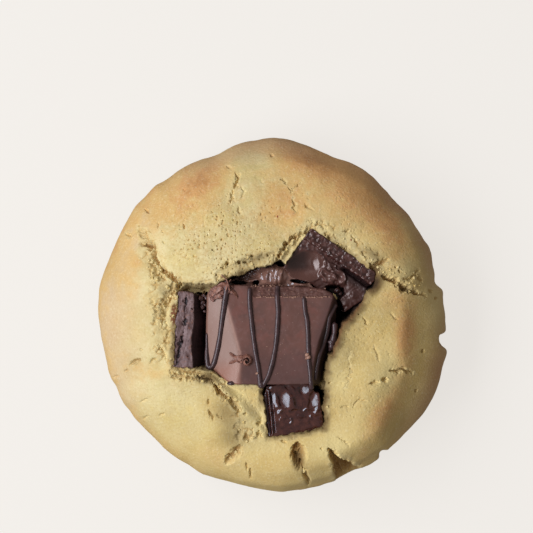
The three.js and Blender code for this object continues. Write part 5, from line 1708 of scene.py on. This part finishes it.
parts = []
CRUMB_AT = [
    # u, v, size in mm
    (333.9, 296.6, 0.62), (335.6, 298.2, 0.40), (304.2, 469.6, 0.75),
    (253.5, 437.5, 0.5), (247, 441.5, 0.42), (160.5, 270.5, 0.62),
    (152.5, 262, 0.5), (157.5, 280, 0.6), (167.5, 287, 0.55), (171, 296, 0.42), (292, 243.5, 0.45), (286.6, 249.6, 0.4),
    (414, 278, 0.42), (397, 284, 0.5), (409, 291.5, 0.5), (226, 400.4, 0.4), (219, 386, 0.42), (203, 381, 0.5),
    (186, 374.6, 0.5), (178, 372.6, 0.46), (240.5, 410, 0.4), (236, 452, 0.5), (231, 458, 0.42), (333.5, 470, 0.5),
]
while len(CRUMB_AT) < 120:
    poly, _, _ = CRUMB_ZONES[int(rng.integers(0, 6))]
    p = np.asarray(poly, float)
    cu, cv = rng.uniform(p[:, 0].min(), p[:, 0].max()), rng.uniform(p[:, 1].min(), p[:, 1].max())
    here = np.array([cu]), np.array([cv])
    on = math.hypot(cu - OUTLINE_U, cv - OUTLINE_V) < 150
    if on and inside(*here, poly)[0] and signed(*here, HOLLOW)[0] < -1.5:
        CRUMB_AT.append((cu, cv, float(rng.uniform(0.16, 0.36))))
for i, (cu, cv, r) in enumerate(CRUMB_AT):
    z = 25.6 if i == 0 else 25.2 if i == 1 else dough_height(cu, cv) + 0.15 * r
    k = rng.uniform(0.75, 1.15, 3)
    parts.append(ball(cu, cv, z, r * k[0], r * k[1], r * 0.8 * k[2], float(rng.uniform(0, 180)), 0.45, 40 + i, 8))
pts, quads, tris = join(parts)
crumbs = make_mesh("dough_crumbs", pts, quads, tris, MAT_CRUMB)
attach(crumbs, "root")

# pale bits of chocolate along the praline's broken northern edge, and specks on it
parts = []
for cu, cv, r in ((307.0, 355.0, 0.42), (308.6, 357.4, 0.40), (306.6, 358.2, 0.26), (257, 373.4, 0.26)):
    parts.append(ball(cu, cv, one(praline_top, cu, cv) + 0.62, r * 1.3, r, r * 0.7, 40, 0.4, 290 + int(cu), 9))
for k in range(190):
    if k < 130:
        cu = rng.uniform(256, 331)
        cv = 297.0 + 0.7 * float(noise(cu / 4, 0.5, 105)) + rng.normal(0, 0.28)
        r = rng.uniform(0.05, 0.12)
    elif k < 158:
        cu = rng.uniform(250, 284)
        cv = 286.2 + rng.normal(0, 0.7)
        r = rng.uniform(0.06, 0.14)
    elif k < 172:
        cu, cv, r = rng.uniform(256, 330), rng.uniform(287, 296), rng.uniform(0.06, 0.13)
    else:
        cu, cv, r = rng.uniform(230, 312), rng.uniform(302, 380), rng.uniform(0.04, 0.08)
    z = one(praline_top, cu, cv) + 0.3 * r
    parts.append(ball(cu, cv, z, r * rng.uniform(1.0, 2.6), r, r * 0.8, float(rng.uniform(-20, 20)), 0.4, 300 + k, 6))
pts, quads, tris = join(parts)
bits = make_mesh("praline_crumbs", pts, quads, tris, MAT_BITS)
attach(bits, "root")

# small melted beads between the west piece and the praline, and one in the north-east hollow
parts = []
for i, (cu, cv, r, z) in enumerate((
    (201, 298.4, 0.56, 25.6), (203.6, 295.4, 0.42, 25.7), (202.8, 302.8, 0.55, 25.2), (202.2, 307.0, 0.48, 25.2),
    (206.4, 298.0, 0.50, 26.2), (205.2, 305.2, 0.36, 25.6), (204.6, 311.4, 0.32, 25.2), (208.6, 302.6, 0.34, 26.5),
    (337.2, 290.6, 0.66, 24.6), (340.2, 293.4, 0.5, 24.2), (335.4, 302.4, 0.55, 24.2),
)):
    parts.append(ball(cu, cv, z, r * 1.15, r, r * 0.9, 30 * i, 0.35, 60 + i, 11))
pts, quads, tris = join(parts)
beads = make_mesh("chocolate_beads", pts, quads, tris, MAT_BEAD)
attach(beads, "root")

# two reddish specks baked into the dough
parts = [ball(cu, cv, dough_height(cu, cv), 0.16, 0.30, 0.14, 20, 0.3, 80 + i, 7) for i, (cu, cv) in enumerate(((277.6, 216.6), (351, 240)))]
pts, quads, tris = join(parts)
specks = make_mesh("red_specks", pts, quads, tris, MAT_SPECK)
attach(specks, "root")

# ------------------------------------------------------------------------------ floor, light, camera
floor_mesh = bpy.data.meshes.new("floor")
s = 2.5
floor_mesh.from_pydata([(-s, -s, 0), (s, -s, 0), (s, s, 0), (-s, s, 0)], [], [(0, 1, 2, 3)])
floor = bpy.data.objects.new("floor", floor_mesh)
floor.location.z = -0.0002
bpy.context.scene.collection.objects.link(floor)
fm = Nodes("floor_paper")
fm.bsdf.inputs["Base Color"].default_value = lin(242, 238, 233, 0.17)
fm.bsdf.inputs["Roughness"].default_value = 0.9
fm.bsdf.inputs["Specular IOR Level"].default_value = 0.0
fm.bsdf.inputs["Emission Color"].default_value = lin(242, 238, 233)
fm.bsdf.inputs["Emission Strength"].default_value = 0.84
floor_mesh.materials.append(fm.mat)
floor.visible_diffuse = False
floor.visible_glossy = False


def area(name, place, size, power, colour):
    data = bpy.data.lights.new(name, "AREA")
    data.shape = "RECTANGLE"
    data.size, data.size_y = size
    data.energy = power
    data.color = colour
    lamp = bpy.data.objects.new(name, data)
    lamp.location = place
    from mathutils import Vector

    lamp.rotation_euler = (Vector((0, 0, 0.02)) - Vector(place)).to_track_quat("-Z", "Y").to_euler()
    bpy.context.scene.collection.objects.link(lamp)
    return lamp


area("window", (-0.60, 0.02, 0.66), (1.25, 0.42), 10.4, (0.94, 0.97, 1.0))

world = bpy.data.worlds.new("room")
bpy.context.scene.world = world
world.use_nodes = True
world.node_tree.nodes["Background"].inputs[0].default_value = (1.0, 0.95, 0.88, 1.0)
world.node_tree.nodes["Background"].inputs[1].default_value = 0.24

bpy.context.scene.view_settings.view_transform = "Standard"
bpy.context.scene.view_settings.look = "None"

cam_data = bpy.data.cameras.new("camera")
cam_data.sensor_width = 36.0
cam_data.lens = 36.0 * (EYE_Z - WIDEST_Z) / (533 * CELL)
cam_data.clip_start = 0.01
cam = bpy.data.objects.new("camera", cam_data)
cam.location = (EYE_X * MM, EYE_Y * MM, EYE_Z * MM)
cam.rotation_euler = (0, 0, 0)
bpy.context.scene.collection.objects.link(cam)
bpy.context.scene.camera = cam
